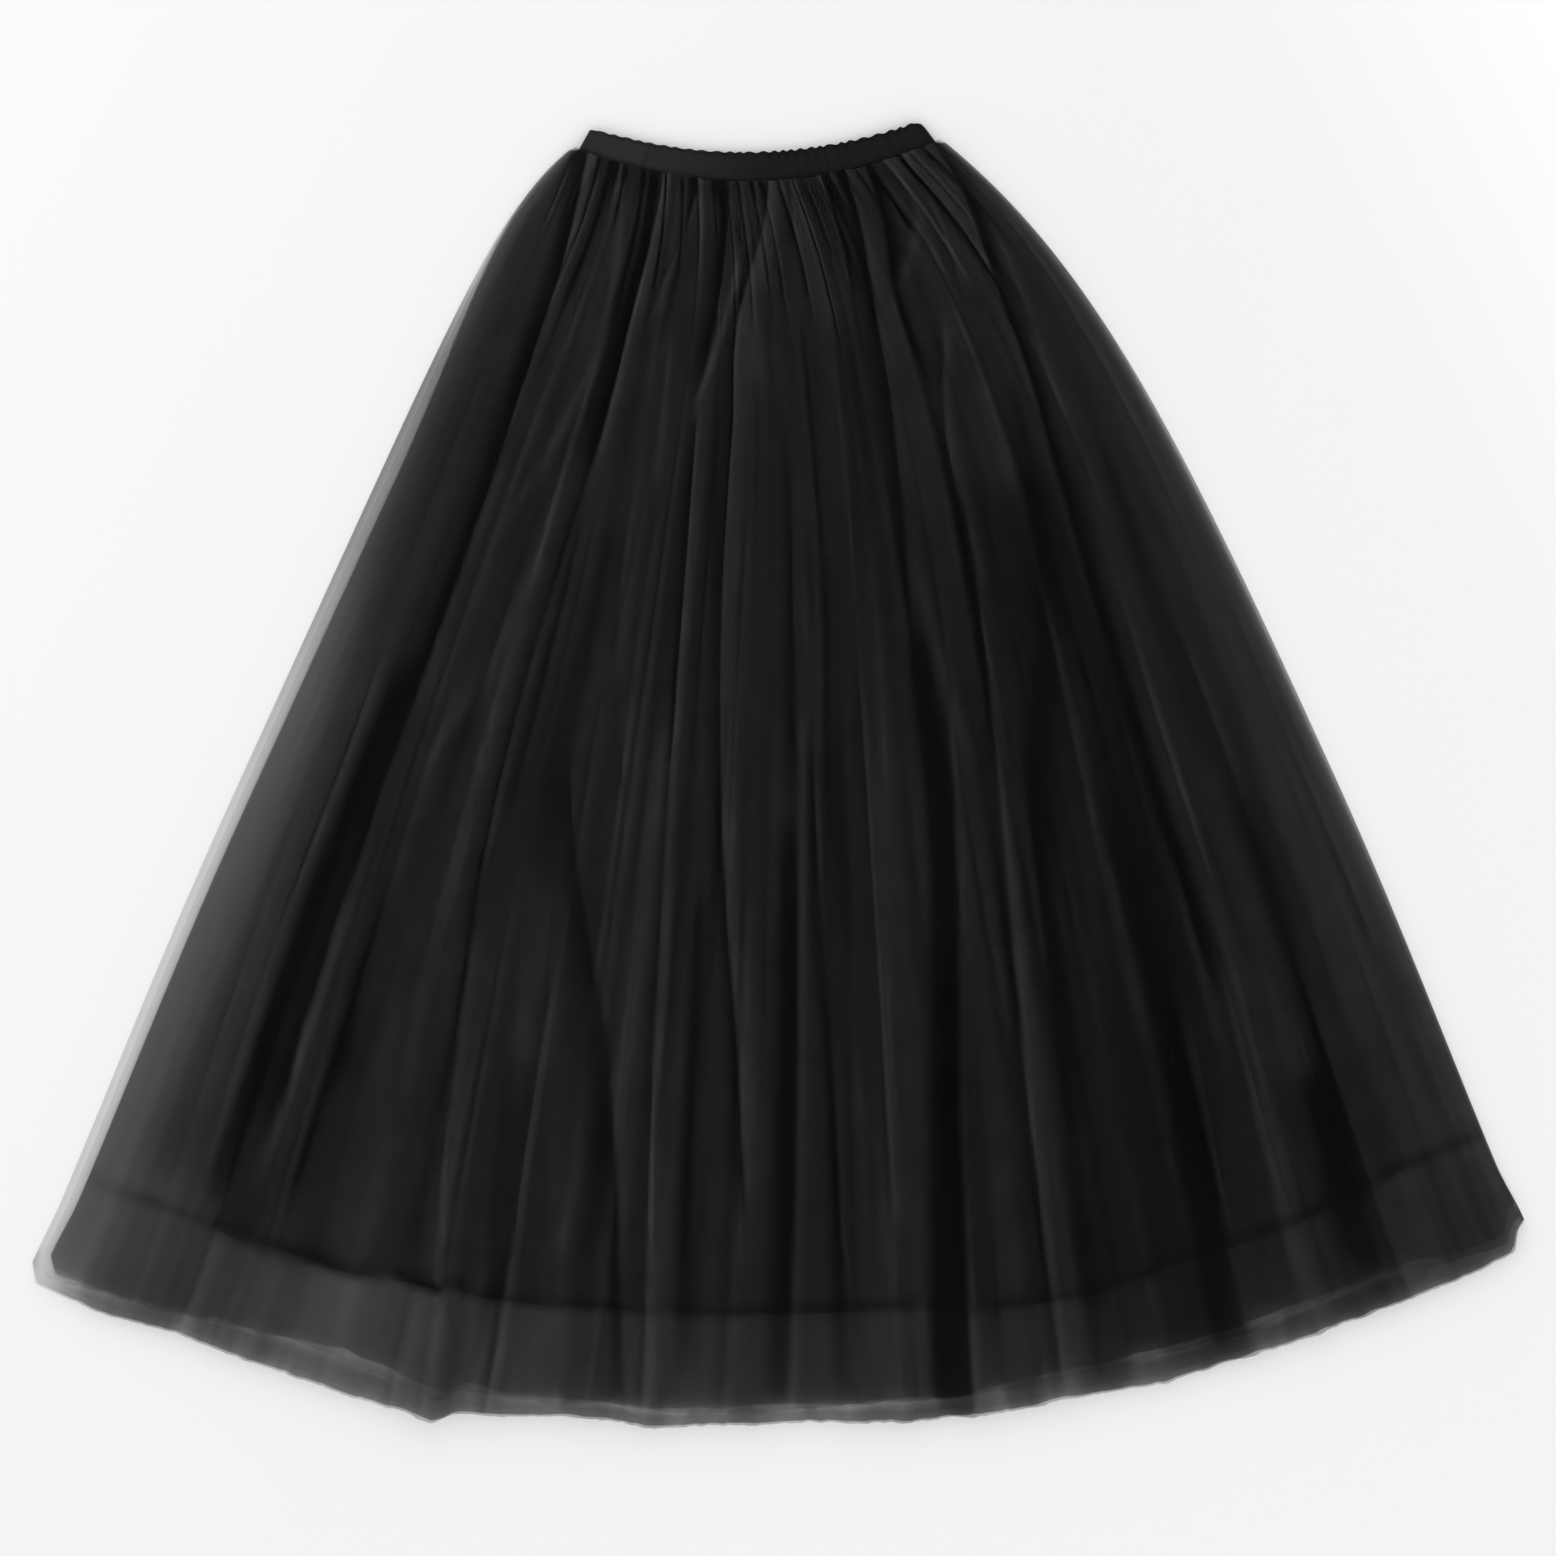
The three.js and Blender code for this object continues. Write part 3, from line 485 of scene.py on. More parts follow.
def lining_edges():
    """The lining's outline about the fan point: its side angles by reach, and its hem by angle."""
    down = np.linspace(0, 1, 41)
    sides = []
    for side in (-1, 1):
        x, y = lay(np.full_like(down, side), down, CUTS["lining"])
        sides.append((np.hypot(x - FAN_X, FAN_Y - y), np.arctan2(x - FAN_X, FAN_Y - y)))
    x, y = lay(np.linspace(-1, 1, 81), np.ones(81), CUTS["lining"])
    return sides, (np.arctan2(x - FAN_X, FAN_Y - y), np.hypot(x - FAN_X, FAN_Y - y))


def beyond_lining(x, y):
    """0 over the lining and 1 beyond it, which comes softly at its sides higher up, where the net is
    gathered, and crisply below. Also how far below the lining's hem a place lies, in mm."""
    (left, right), hem = LINING_EDGES
    angle = np.arctan2(x - FAN_X, FAN_Y - y)
    reach = np.hypot(x - FAN_X, FAN_Y - y)
    past_side = np.maximum(np.interp(reach, *left) - angle, angle - np.interp(reach, *right)) * reach
    past_hem = reach - np.interp(angle, *hem)
    soft = 1 - ease(reach, 1180, 1300)
    return 1 - (1 - ease(past_side, -2 - 28 * soft, 3 + 11 * soft)) * (1 - ease(past_hem, -1, 3)), past_hem


def streaks(across, chance):
    """Streaks along the length, where the net happens to be gathered more or less closely."""
    total = np.zeros_like(across)
    for wide, amount in ((0.06, 0.12), (0.025, 0.16), (0.01, 0.16)):
        places = np.arange(-1.3, 1.3, wide)
        total += np.interp(across, places, [chance.uniform(-amount, amount) for _ in places])
    return total


def net_looks(layer, across, down, x, y, tone, chance):
    """The net's three looks: tone, with the creases' painted shade and highlight, cover, and the paper's
    light that comes up through it, painted into its colour.
    """
    from_side = (1 - np.abs(across)) * half_width(down)
    uneven = streaks(across + 0.02 * down, chance)
    tone = tone + 0.6 * uneven
    plies = (1 + 0.9 * np.exp(-down / 0.1) + 0.4 * ease(from_side, 8, 110)) * (1 + uneven)
    left = across < 0
    soft_edge = np.where(left, table(LEFT_SOFT_EDGE, down), table(RIGHT_SOFT_EDGE, down))
    plies = plies * (0.3 + 0.7 * ease(from_side, 0, soft_edge))
    if layer.name == "outer":
        plies = plies + np.where(
            left, table(LEFT_EDGE_PLIES, down) * np.exp(-from_side / 8), 2.6 * np.exp(-from_side / 1.2))
        alone = 1 - ease(SKIRT_LENGTH * (1 - down) - table(INNER_SHORTER, across), -8, 4)
        plies = plies * (1 + 3.0 * alone)
    bunched = np.zeros_like(across)
    for start, end, extra in BUNCHED:
        inside = ease(across, start - 0.009, start + 0.009) * (1 - ease(across, end - 0.009, end + 0.009))
        bunched += extra * inside
    bunched = bunched * ease(down, 0.55, 0.9)
    plies = (plies + bunched) * (1 - 0.45 * ease(down + 0.006 * uneven, 0.99, 1))
    beyond, past_hem = beyond_lining(x, y)
    # Painted shadow along the lining's turned hem, seen through the net: a darker band over the last 9 mm
    # above the lining's hem, strongest from -0.66 to -0.45 across
    painted_hem_shadow = 0.3 + 0.5 * ease(across, -0.67, -0.65) * (1 - ease(across, -0.47, -0.43))
    tone = tone - painted_hem_shadow * ease(past_hem, -9, -7) * (1 - ease(past_hem, -1, 1))
    # Painted light from the paper, only beyond the lining: it fades inwards from the sides above the hem,
    # is less where the net is bunched, and follows the creases' painted tone
    low = ease(down, 0.85, 0.9)
    reached = from_side / table(LEFT_GLOW_REACH, down)
    deep = np.where(left, 0.75 * ease(reached, 0.2, 1), 0.55 * ease(from_side, 25, 110))
    coming = np.where(left, 0.35 + 0.65 * ease(down, 0.2, 0.5), 0.8 + 0.2 * ease(down, 0, 0.3))
    inward = (1 - deep * (1 - low)) * coming
    glow = beyond * table(GLOW, across) * inward * np.exp(-0.7 * bunched)
    glow = glow * np.clip(1 + 1.3 * tone, 0.35, 1.7)
    tone = np.clip(0.2 + np.where(tone > 0, 0.7, 0.36) * tone, 0.03, 1)
    return {"tone": tone, "cover": 1 - NET_SEEN_THROUGH ** plies, "glow": glow}


def grid(columns, rows):
    """Shares across and down for a grid whose rows lie closer under the band."""
    across = np.linspace(-1, 1, columns + 1)
    down = np.linspace(0, 1, rows + 1) ** 1.25
    return np.meshgrid(across, down)


def ragged(across, down, layer):
    """A hand-cut hem: how much shorter the net is there in mm, in uneven waves that die out above. A
    layer's front and back are cut alike."""
    chance = random.Random(SEED + layer.columns)
    short = np.zeros_like(across)
    for wide in (0.13, 0.05, 0.021, 0.009, 0.005):
        places = np.arange(-1.2, 1.2, wide)
        heights = [chance.uniform(0, 20 * wide ** 0.6) for _ in places]
        short += np.interp(across, places, heights)
    return short * ease(down, 0.94, 1)


def seam_swell(across, down, chance):
    """How far the gathers swell over the seam under the band, in mm, unevenly."""
    places = np.linspace(-1, 1, 2 * PUCKERS + 1)
    heights = [chance.uniform(-0.8, 2.2) * (index % 2) for index in range(len(places))]
    return np.interp(across, places, heights) * (1 - ease(down, 0, 0.006))


def store(mesh, key, values):
    """Keeps one value for each point of a mesh, for its material to read."""
    values = np.asarray(values).ravel().astype(np.float32)
    mesh.attributes.new(key, "FLOAT", "POINT").data.foreach_set("value", values)


def put(name, data):
    """Adds an object to the scene."""
    piece = bpy.data.objects.new(name, data)
    bpy.context.collection.objects.link(piece)
    return piece


def sheet_mesh(name, x, y, z, faces_up, material, attributes):
    """An open sheet from a grid of places in mm, with a cloth UV map and named attributes."""
    rows, columns = x.shape
    places = np.stack((x, y, z), axis=-1).reshape(-1, 3) * MM
    corner = np.arange((rows - 1) * columns).reshape(rows - 1, columns)[:, :-1]
    quads = np.stack((corner, corner + columns, corner + columns + 1, corner + 1), axis=-1)
    quads = quads.reshape(-1, 4)
    if not faces_up:
        quads = quads[:, ::-1]
    mesh = bpy.data.meshes.new(name)
    mesh.from_pydata(places.tolist(), [], quads.tolist())
    mesh.polygons.foreach_set("use_smooth", np.ones(len(quads), bool))
    for key, values in attributes.items():
        store(mesh, key, values)
    down, across = np.meshgrid(np.linspace(0, 1, rows), np.linspace(0, 1, columns), indexing="ij")
    cloth = np.stack((across * 1.25, 1 - down), axis=-1).reshape(-1, 2)
    uv = mesh.uv_layers.new(name="cloth")
    uv.data.foreach_set("uv", cloth[quads.ravel()].ravel())
    mesh.materials.append(material)
    mesh.update()
    return put(name, mesh)


def add(tree, kind, settings=None, inputs=None):
    """Adds a node, with its own settings and its inputs as values or as sockets to link."""
    node = tree.nodes.new(kind)
    for key, value in (settings or {}).items():
        setattr(node, key, value)
    for key, value in (inputs or {}).items():
        if isinstance(value, bpy.types.NodeSocket):
            tree.links.new(value, node.inputs[key])
        else:
            node.inputs[key].default_value = value
    return node


def colour(code):
    """An sRGB hex colour as linear red, green, blue and alpha."""
    parts = [int(code[i:i + 2], 16) / 255 for i in (1, 3, 5)]
    return tuple(p / 12.92 if p <= 0.04045 else ((p + 0.055) / 1.055) ** 2.4 for p in parts) + (1.0,)


def mix_colours(tree, share, low, high):
    """A mix of two colours, each given as a value or as a socket. Output 2 is the colour."""
    return add(tree, "ShaderNodeMix", {"data_type": "RGBA"}, {0: share, 6: low, 7: high})


def new_material(name, roughness, specular, ior=None):
    """A material with its shader and output ready, and its tree."""
    material = bpy.data.materials.new(name)
    material.use_nodes = True
    tree = material.node_tree
    tree.nodes.clear()
    shader = add(tree, "ShaderNodeBsdfPrincipled", None, {
        "Roughness": roughness, "Specular IOR Level": specular})
    if ior:
        shader.inputs["IOR"].default_value = ior
    add(tree, "ShaderNodeOutputMaterial", None, {"Surface": shader.outputs[0]})
    return material, tree, shader


def nylon_net():
    """Fine hexagonal nylon tulle, knitted and dyed black: bare threads with air between them. It is
    seen through, and looks like smoke where it is bunched. Its holes are about 1 mm, too fine to show,
    so its cover is one share that grows with the plies. A faint cloud stands for uneven stretch, and
    streaks along the length, about 4 mm apart, for the gathered threads."""
    material, tree, shader = new_material("nylon_net", 0.62, 0.03, 1.53)
    tone = add(tree, "ShaderNodeAttribute", {"attribute_name": "tone"})
    cover = add(tree, "ShaderNodeAttribute", {"attribute_name": "cover"})
    glow = add(tree, "ShaderNodeAttribute", {"attribute_name": "glow"})
    place = add(tree, "ShaderNodeTexCoord")
    cloth = add(tree, "ShaderNodeUVMap", {"uv_map": "cloth"})
    cloud = add(tree, "ShaderNodeTexNoise", None, {
        "Vector": place.outputs["Object"], "Scale": 38.0, "Detail": 3.0, "Roughness": 0.6})
    uneven = add(tree, "ShaderNodeMath", {"operation": "MULTIPLY_ADD"}, {
        0: cloud.outputs["Fac"], 1: 1.0, 2: 0.5})
    lengthwise = add(tree, "ShaderNodeMapping", None, {
        "Vector": cloth.outputs[0], "Scale": (150.0, 4.0, 1.0)})
    streak = add(tree, "ShaderNodeTexNoise", None, {
        "Vector": lengthwise.outputs[0], "Scale": 1.0, "Detail": 2.0, "Roughness": 0.7})
    gathered = add(tree, "ShaderNodeMath", {"operation": "MULTIPLY_ADD"}, {
        0: streak.outputs["Fac"], 1: 1.5, 2: 0.25})
    both = add(tree, "ShaderNodeMath", {"operation": "MULTIPLY"}, {
        0: uneven.outputs[0], 1: gathered.outputs[0]})
    lifted = add(tree, "ShaderNodeMath", {"operation": "MULTIPLY", "use_clamp": True}, {
        0: tone.outputs["Fac"], 1: both.outputs[0]})
    # Painted shade and highlight: the tone attribute darkens and lightens the threads' colour along the
    # creases
    thread = mix_colours(tree, lifted.outputs[0], colour("#050506"), colour("#5a5a5c"))
    # Painted light: the glow attribute mixes the paper's light coming up through the net into its colour
    lit = mix_colours(tree, glow.outputs["Fac"], thread.outputs[2], colour("#8a8a8c"))
    tree.links.new(lit.outputs[2], shader.inputs["Base Color"])
    tree.links.new(cover.outputs["Fac"], shader.inputs["Alpha"])
    return material


def woven_lining():
    """Black polyester taffeta lining, plain woven and pressed: close, smooth, with a soft low sheen.
    The threads are 0.1 mm, too fine to show, so the weave is drawn ten times as coarse."""
    material, tree, shader = new_material("woven_lining", 0.5, 0.06, 1.5)
    uv = add(tree, "ShaderNodeUVMap", {"uv_map": "cloth"})
    warp = add(tree, "ShaderNodeTexWave", {"bands_direction": "X"}, {
        "Vector": uv.outputs[0], "Scale": 160.0, "Distortion": 0.6, "Detail": 1.0})
    weft = add(tree, "ShaderNodeTexWave", {"bands_direction": "Y"}, {
        "Vector": uv.outputs[0], "Scale": 160.0, "Distortion": 0.6, "Detail": 1.0})
    weave = add(tree, "ShaderNodeMath", {"operation": "MULTIPLY"}, {
        0: warp.outputs["Fac"], 1: weft.outputs["Fac"]})
    bump = add(tree, "ShaderNodeBump", None, {
        "Strength": 0.12, "Distance": 0.0004, "Height": weave.outputs[0]})
    place = add(tree, "ShaderNodeTexCoord")
    cloud = add(tree, "ShaderNodeTexNoise", None, {
        "Vector": place.outputs["Object"], "Scale": 9.0, "Detail": 2.0})
    shade = mix_colours(tree, cloud.outputs["Fac"], colour("#080809"), colour("#101011"))
    tree.links.new(shade.outputs[2], shader.inputs["Base Color"])
    tree.links.new(bump.outputs[0], shader.inputs["Normal"])
    return material


def ruched_elastic():
    """Black jersey over wide knitted elastic, stretched while it was sewn: it draws up in ribs across
    the band, and is matt with a faint fuzz."""
    material, tree, shader = new_material("ruched_elastic", 0.75, 0.06, 1.5)
    tone = add(tree, "ShaderNodeAttribute", {"attribute_name": "tone"})
    place = add(tree, "ShaderNodeTexCoord")
    knit = add(tree, "ShaderNodeTexWave", {"bands_direction": "Y"}, {
        "Vector": place.outputs["Object"], "Scale": 420.0, "Distortion": 1.5, "Detail": 2.0})
    bump = add(tree, "ShaderNodeBump", None, {
        "Strength": 0.25, "Distance": 0.0004, "Height": knit.outputs["Fac"]})
    # The tone attribute carries the band's painted light and shade
    shade = mix_colours(tree, tone.outputs["Fac"], colour("#0c0c0d"), colour("#303032"))
    tree.links.new(shade.outputs[2], shader.inputs["Base Color"])
    tree.links.new(bump.outputs[0], shader.inputs["Normal"])
    return material


def sewing_thread():
    """Black polyester sewing thread, two plies twisted, with a faint gloss on its rounds. The plies are
    0.1 mm, too fine to show, so the twist is drawn as a slow change of shade along each stitch."""
    material, tree, shader = new_material("sewing_thread", 0.5, 0.1, 1.55)
    place = add(tree, "ShaderNodeTexCoord")
    twist = add(tree, "ShaderNodeTexNoise", None, {
        "Vector": place.outputs["Object"], "Scale": 900.0, "Detail": 1.0})
    shade = mix_colours(tree, twist.outputs["Fac"], colour("#060607"), colour("#1c1c1e"))
    tree.links.new(shade.outputs[2], shader.inputs["Base Color"])
    return material


def stitch_tree():
    """Stitches that follow a line: short rods of thread at even steps, each a little longer or shorter."""
    tree = bpy.data.node_groups.new("stitches", "GeometryNodeTree")
    for label, kind in (("Line", "Geometry"), ("Step", "Float"), ("Length", "Float"),
                        ("Thickness", "Float"), ("Seed", "Int"), ("Thread", "Material")):
        tree.interface.new_socket(label, in_out="INPUT", socket_type=f"NodeSocket{kind}")
    tree.interface.new_socket("Stitches", in_out="OUTPUT", socket_type="NodeSocketGeometry")
    given = add(tree, "NodeGroupInput").outputs
    line = add(tree, "GeometryNodeMeshToCurve", None, {0: given["Line"]})
    places = add(tree, "GeometryNodeCurveToPoints", {"mode": "LENGTH"}, {
        "Curve": line.outputs[0], "Length": given["Step"]})
    rod = add(tree, "GeometryNodeMeshCylinder", None, {
        "Vertices": 6, "Radius": given["Thickness"], "Depth": given["Length"]})
    size = add(tree, "FunctionNodeRandomValue", {"data_type": "FLOAT"}, {
        2: 0.85, 3: 1.15, "Seed": given["Seed"]})
    placed = add(tree, "GeometryNodeInstanceOnPoints", None, {
        "Points": places.outputs["Points"], "Instance": rod.outputs["Mesh"],
        "Rotation": places.outputs["Rotation"], "Scale": size.outputs[1]})
    real = add(tree, "GeometryNodeRealizeInstances", None, {0: placed.outputs[0]})
    dressed = add(tree, "GeometryNodeSetMaterial", None, {
        "Geometry": real.outputs[0], "Material": given["Thread"]})
    add(tree, "NodeGroupOutput", None, {0: dressed.outputs[0]})
    return tree


def make_stitches(name, x, y, z, step, length):
    """A row of stitches as a plain mesh along a line of places in mm."""
    places = np.stack((x, y, z), axis=-1) * MM
    mesh = bpy.data.meshes.new(name)
    mesh.from_pydata(places.tolist(), [(i, i + 1) for i in range(len(places) - 1)], [])
    line = put(f"{name}_line", mesh)
    modifier = line.modifiers.new("stitches", "NODES")
    values = {"Step": step * MM, "Length": length * MM, "Thickness": 0.18 * MM, "Seed": SEED,
              "Thread": THREAD}
    modifier.node_group = STITCHES
    for socket in STITCHES.interface.items_tree:
        if socket.name in values:
            modifier[socket.identifier] = values[socket.name]
    bpy.context.view_layer.update()
    ready = line.evaluated_get(bpy.context.evaluated_depsgraph_get())
    made = bpy.data.meshes.new_from_object(ready)
    bpy.data.objects.remove(line)
    bpy.data.meshes.remove(mesh)
    made.name = name
    piece = put(name, made)
    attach(piece, "root")
    return piece


NET = nylon_net()
THREAD = sewing_thread()
STITCHES = stitch_tree()
LINING = woven_lining()
ELASTIC = ruched_elastic()
LINING_EDGES = lining_edges()


def front_height(layer, across, down, below):
    """Where a front panel's net lies: height and lean in mm, and tone. It lies above the layer below."""
    lean, lift = pleat_sums(across, down)
    width = half_width(down)
    lean = lean * layer.lean_share * ease((1 - np.abs(across)) * width, 0, 30)
    place = even_place(draw_in(across + lean / width, down, CUTS[layer.name]), down)
    rise, tone = crease_sums(FRONT_CREASES, place, down)
    loft = LOFT * (1 - across ** 4) * ease(down, 0, 0.15) * (1 - 0.6 * ease(down, 0.4, 1))
    z = layer.level + SHEET_LIFT + layer.share * (loft + rise) + layer.lean_share * lift
    if below is not None:
        z = np.maximum(z, below(across, down) + SHEET_GAP)
    return z, lean, tone


def make_tulle_front(layer, below, chance):
    """A gathered front panel: a sheet that comes down to its own back panel at the sides."""
    across, down = grid(layer.columns, layer.rows)
    z, lean, tone = front_height(layer, across, down, below)
    width = half_width(down)
    from_side = (1 - np.abs(across)) * width
    edge_level = layer.back_level + LAY_STEP
    z = edge_level + (z - edge_level) * (1 - np.exp(-from_side / 7))
    x, y = lay(across + lean / width, down, CUTS[layer.name])
    y = y + ragged(across, down, layer) + seam_swell(across, down, chance)
    looks = net_looks(layer, across + lean / width, down, x, y, tone, chance)
    piece = sheet_mesh(f"net_{layer.name}_front", x, y, z, True, NET, looks)
    finish_sheet(piece, f"tulle_{layer.name}_front")


def make_tulle_back(layer, chance):
    """A back panel: the net under the skirt, pressed flat with the same kind of creases, but low."""
    across, down = grid(*BACK_GRID)
    place = draw_in(across, down, CUTS[layer.name])
    rise, tone = crease_sums(chance_creases(60, chance) + gathers(chance), place, down)
    x, y = lay(across, down, CUTS[layer.name])
    y = y + ragged(across, down, layer)
    z = layer.back_level + SHEET_LIFT + np.clip(0.08 * rise, 0, 0.4)
    # The back's creases carry stronger painted shade and painted highlight
    looks = net_looks(layer, across, down, x, y, 1.6 * tone, chance)
    piece = sheet_mesh(f"net_{layer.name}_back", x, y, z, False, NET, looks)
    finish_sheet(piece, f"tulle_{layer.name}_back")


def finish_sheet(piece, node):
    """Hangs a sheet on the root body and hides the part of model.glb that it stands for."""
    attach(piece, "root")
    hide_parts(node)


def make_lining(front, chance):
    """A lining panel with soft folds and a turned hem that stands a little thicker."""
    name = "lining_front" if front else "lining_back"
    across, down = grid(*LINING_GRID)
    creases = []
    for index in range(9):
        place = -0.9 + 1.8 * (index + chance.uniform(0.2, 0.8)) / 9
        path = [place + chance.uniform(-0.02, 0.02) for _ in STATIONS]
        wide = chance.uniform(0.04, 0.1)
        creases.append(Crease("soft", 0.0, 1.1, path, (wide, 0), (wide, 0), chance.uniform(0.5, 1.6)))

    def height(across, down):
        rise = crease_sums(creases, across, down)[0] * (1.0 if front else 0.2)
        level = LINING_LEVEL + (LAY_STEP if front else 0) + SHEET_LIFT
        turned = 0.5 * ease(down, 0.9895, 0.9915) if front else 0
        return level + np.clip(rise, 0, 1.8 if front else 0.3) + turned

    x, y = lay(across, down, CUTS["lining"])
    piece = sheet_mesh(f"{name}_taffeta", x, y, height(across, down), front, LINING, {})
    sewn = []
    if front:
        line = np.linspace(-0.99, 0.99, 400)
        row = np.full_like(line, 0.9925)
        x, y = lay(line, row, CUTS["lining"])
        sewn = [make_stitches("lining_hem_stitches", x, y, height(line, row) + 0.12, 3.6, 2.8)]
    finish_sheet(piece, name)


def band_stations():
    """Steps along the band's loop: front, right bend, back, left bend."""
    straight = BAND_STRAIGHT
    front_steps, back_steps, bend_steps = 14 * PUCKERS, 120, 10
    stations = [(-straight + 2 * straight * i / front_steps, math.pi / 2) for i in range(front_steps + 1)]
    stations += [(straight, math.pi / 2 - math.pi * i / bend_steps) for i in range(1, bend_steps)]
    stations += [(straight - 2 * straight * i / back_steps, -math.pi / 2) for i in range(back_steps + 1)]
    stations += [(-straight, -math.pi / 2 - math.pi * i / bend_steps) for i in range(1, bend_steps)]
    return np.array(stations)


def band_surface(along, turn, out, up, phases):
    """Places in mm and tone on the ruched band, whose puckers lift its top edge, more to the right. The
    tone is painted light and shade.
    """
    straight = BAND_STRAIGHT
    front = (np.sin(turn) > 0.9).astype(float)
    place = along / straight
    phase = np.interp(place, np.linspace(-1, 1, PUCKERS + 1), phases)
    wave = 0.5 - 0.5 * np.cos(2 * np.pi * PUCKERS * phase)
    strength = 0.25 + 0.75 * ease(place, -0.5, 0.3)
    seam = np.exp(-((place + 0.67) / 0.012) ** 2)
    swell = front * wave * strength * (0.2 + 0.8 * np.maximum(ease(up, 0.55, 1), 1 - ease(up, 0, 0.3)))
    pillow = 0.5 * np.sin(np.pi * up) * front
    outward = (out > 0) * (0.5 * swell + pillow - 0.4 * seam * front)
    offset = BAND_BEND + out + outward
    flat = along + offset * np.cos(turn)
    end = np.clip(flat / (SEAM_WIDTH / 2), -1, 1)
    scallop = 1.5 * wave * (0.5 + 0.5 * strength) * ease(up, 0.6, 1) * (0.4 + 0.6 * front)
    y = seam_at(end) + (band_top_at(end) - 1.0 - seam_at(end)) * up + scallop
    y = y - 1.2 * ease(end, 0.97, 1) * ease(up, 0.7, 1)
    x = SEAM_X + flat * (1 + (BAND_TOP_WIDTH / SEAM_WIDTH - 1) * up) - 3 * up * ease(-end, 0.8, 1)
    z = BAND_WALL + BAND_HOLLOW / 2 + offset * np.sin(turn)
    # Painted light and shade: lighter towards the left end and a step lighter left of the seam, painted
    # shade at the seam, a faint painted highlight on each pucker, and painted shade along the top edge,
    # deepest between the puckers
    tone = 0.66 - 0.46 * ease(place, -0.72, 0.2) + 0.1 * (place < -0.67) - 0.2 * seam
    tone = tone + 0.06 * (wave - 0.5) * front * strength
    tone = np.maximum(tone - (0.1 + 0.35 * (1 - wave)) * ease(up, 0.84, 0.98), 0)
    return x, y, z, tone


def make_waistband(chance):
    """The ruched band: one loop of elastic in its tube of jersey."""
    stations = band_stations()
    corner = 0.9
    half = BAND_WALL / 2
    section = [(half - corner, 0.0), (half, 0.035), (half, 0.2), (half, 0.38), (half, 0.56), (half, 0.74),
               (half, 0.88), (half, 0.965), (half - corner, 1.0), (-half + corner, 1.0),
               (-half, 1.0), (-half, 0.5), (-half, 0.0)]
    out = np.array([point[0] for point in section])[None, :]
    up = np.array([point[1] for point in section])[None, :]
    phases = np.cumsum([chance.uniform(0.6, 1.4) for _ in range(PUCKERS + 1)])
    phases = (phases - phases[0]) / (phases[-1] - phases[0])
    x, y, z, tone = band_surface(stations[:, 0:1], stations[:, 1:2], out, up, phases)
    tone = np.broadcast_to(tone, x.shape)
    count, size = x.shape
    places = np.stack((x, y, z), axis=-1).reshape(-1, 3) * MM
    faces = []
    for i in range(count):
        following = (i + 1) % count
        for j in range(size):
            k = (j + 1) % size
            faces.append((i * size + j, following * size + j, following * size + k, i * size + k))
    mesh = bpy.data.meshes.new("waistband_ruched")
    mesh.from_pydata(places.tolist(), [], faces)
    mesh.polygons.foreach_set("use_smooth", np.ones(len(faces), bool))
    store(mesh, "tone", tone)
    mesh.materials.append(ELASTIC)
    mesh.update()
    piece = put("waistband_ruched", mesh)
    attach(piece, "root")
    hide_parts("waistband")
    for number, share in enumerate((0.1, 0.9)):
        line = np.linspace(-BAND_STRAIGHT, BAND_STRAIGHT, 900)
        ahead = np.full_like(line, math.pi / 2)
        x, y, z, _ = band_surface(line, ahead, np.full_like(line, half), np.full_like(line, share), phases)
        make_stitches(f"band_stitches_{number + 1}", x, y, z + 0.1, 3.4, 2.6)


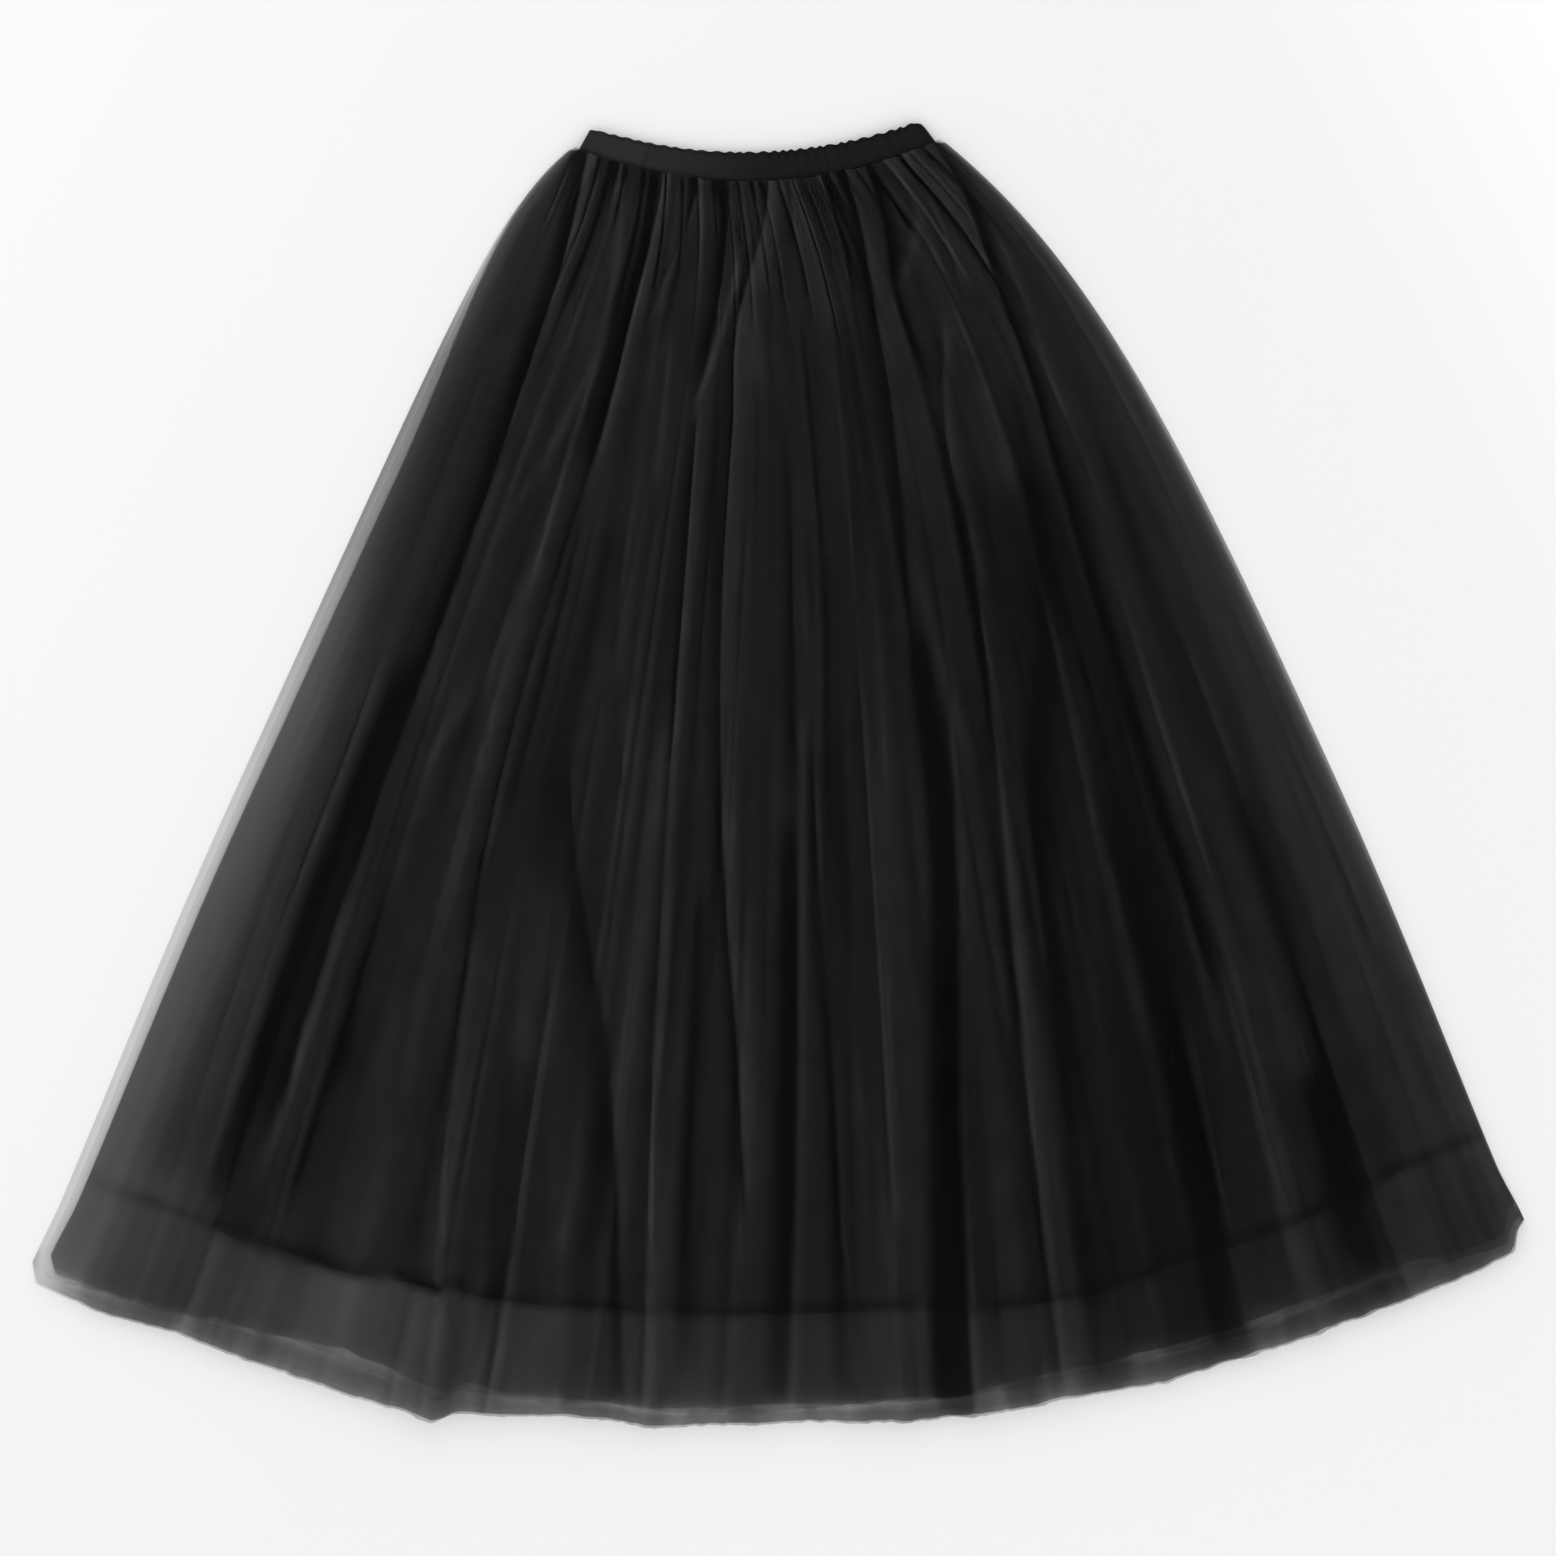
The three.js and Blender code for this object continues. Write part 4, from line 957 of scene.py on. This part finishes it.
def make_floor_and_light():
    """A white paper floor, a soft main light from the upper right and a weaker one from the left."""
    bpy.ops.mesh.primitive_plane_add(size=14)
    floor = bpy.context.object
    floor.name = "floor"
    material, _, shader = new_material("white_paper", 0.9, 0.1)
    shader.inputs["Base Color"].default_value = colour("#f4f4f4")
    floor.data.materials.append(material)
    for name, place, size, power in (
        ("main_light", (2.6, 1.3, 2.6), 1.6, 260.0),
        ("fill_light", (-2.8, 1.6, 3.2), 2.4, 90.0),
    ):
        light = bpy.data.lights.new(name, "AREA")
        light.shape = "DISK"
        light.size = size
        light.energy = power
        lamp = bpy.data.objects.new(name, light)
        lamp.location = place
        aim = math.atan2(-place[1], -place[0])
        tilt = math.atan2(math.hypot(place[0], place[1]), place[2])
        lamp.rotation_euler = (0, -tilt, aim + math.pi)
        lamp.rotation_mode = "XYZ"
        bpy.context.collection.objects.link(lamp)
    world = bpy.data.worlds.new("studio")
    world.use_nodes = True
    world.node_tree.nodes["Background"].inputs["Color"].default_value = colour("#ffffff")
    world.node_tree.nodes["Background"].inputs["Strength"].default_value = 1.0
    bpy.context.scene.world = world
    bpy.context.scene.view_settings.view_transform = "Standard"


def make_camera():
    """A long lens straight above, which frames 1556 by 1556 pixels of 0.8 mm."""
    camera = bpy.data.cameras.new("camera")
    camera.lens = 135
    camera.sensor_width = 36
    camera.clip_end = 50
    viewer = bpy.data.objects.new("camera", camera)
    frame_width = PHOTO_PIXELS * PIXEL * MM
    viewer.location = (-0.0004, 0.0004, frame_width * camera.lens / camera.sensor_width + 0.012)
    bpy.context.collection.objects.link(viewer)
    bpy.context.scene.camera = viewer


shared = random.Random(SEED)
# The three front layers were gathered and laid together, so they share their creases
FRONT_CREASES = list(CREASES) + chance_creases(90, shared) + gathers(shared)
make_camera()
make_floor_and_light()
make_waistband(random.Random(SEED))
below = None
for number, layer in enumerate(LAYERS):
    chance = random.Random(SEED + 10 * number + 1)
    make_tulle_front(layer, below, chance)
    make_tulle_back(layer, chance)
    lower = below

    def below(across, down, layer=layer, lower=lower):
        return front_height(layer, across, down, lower)[0]

make_lining(False, random.Random(SEED + 50))
make_lining(True, random.Random(SEED + 51))
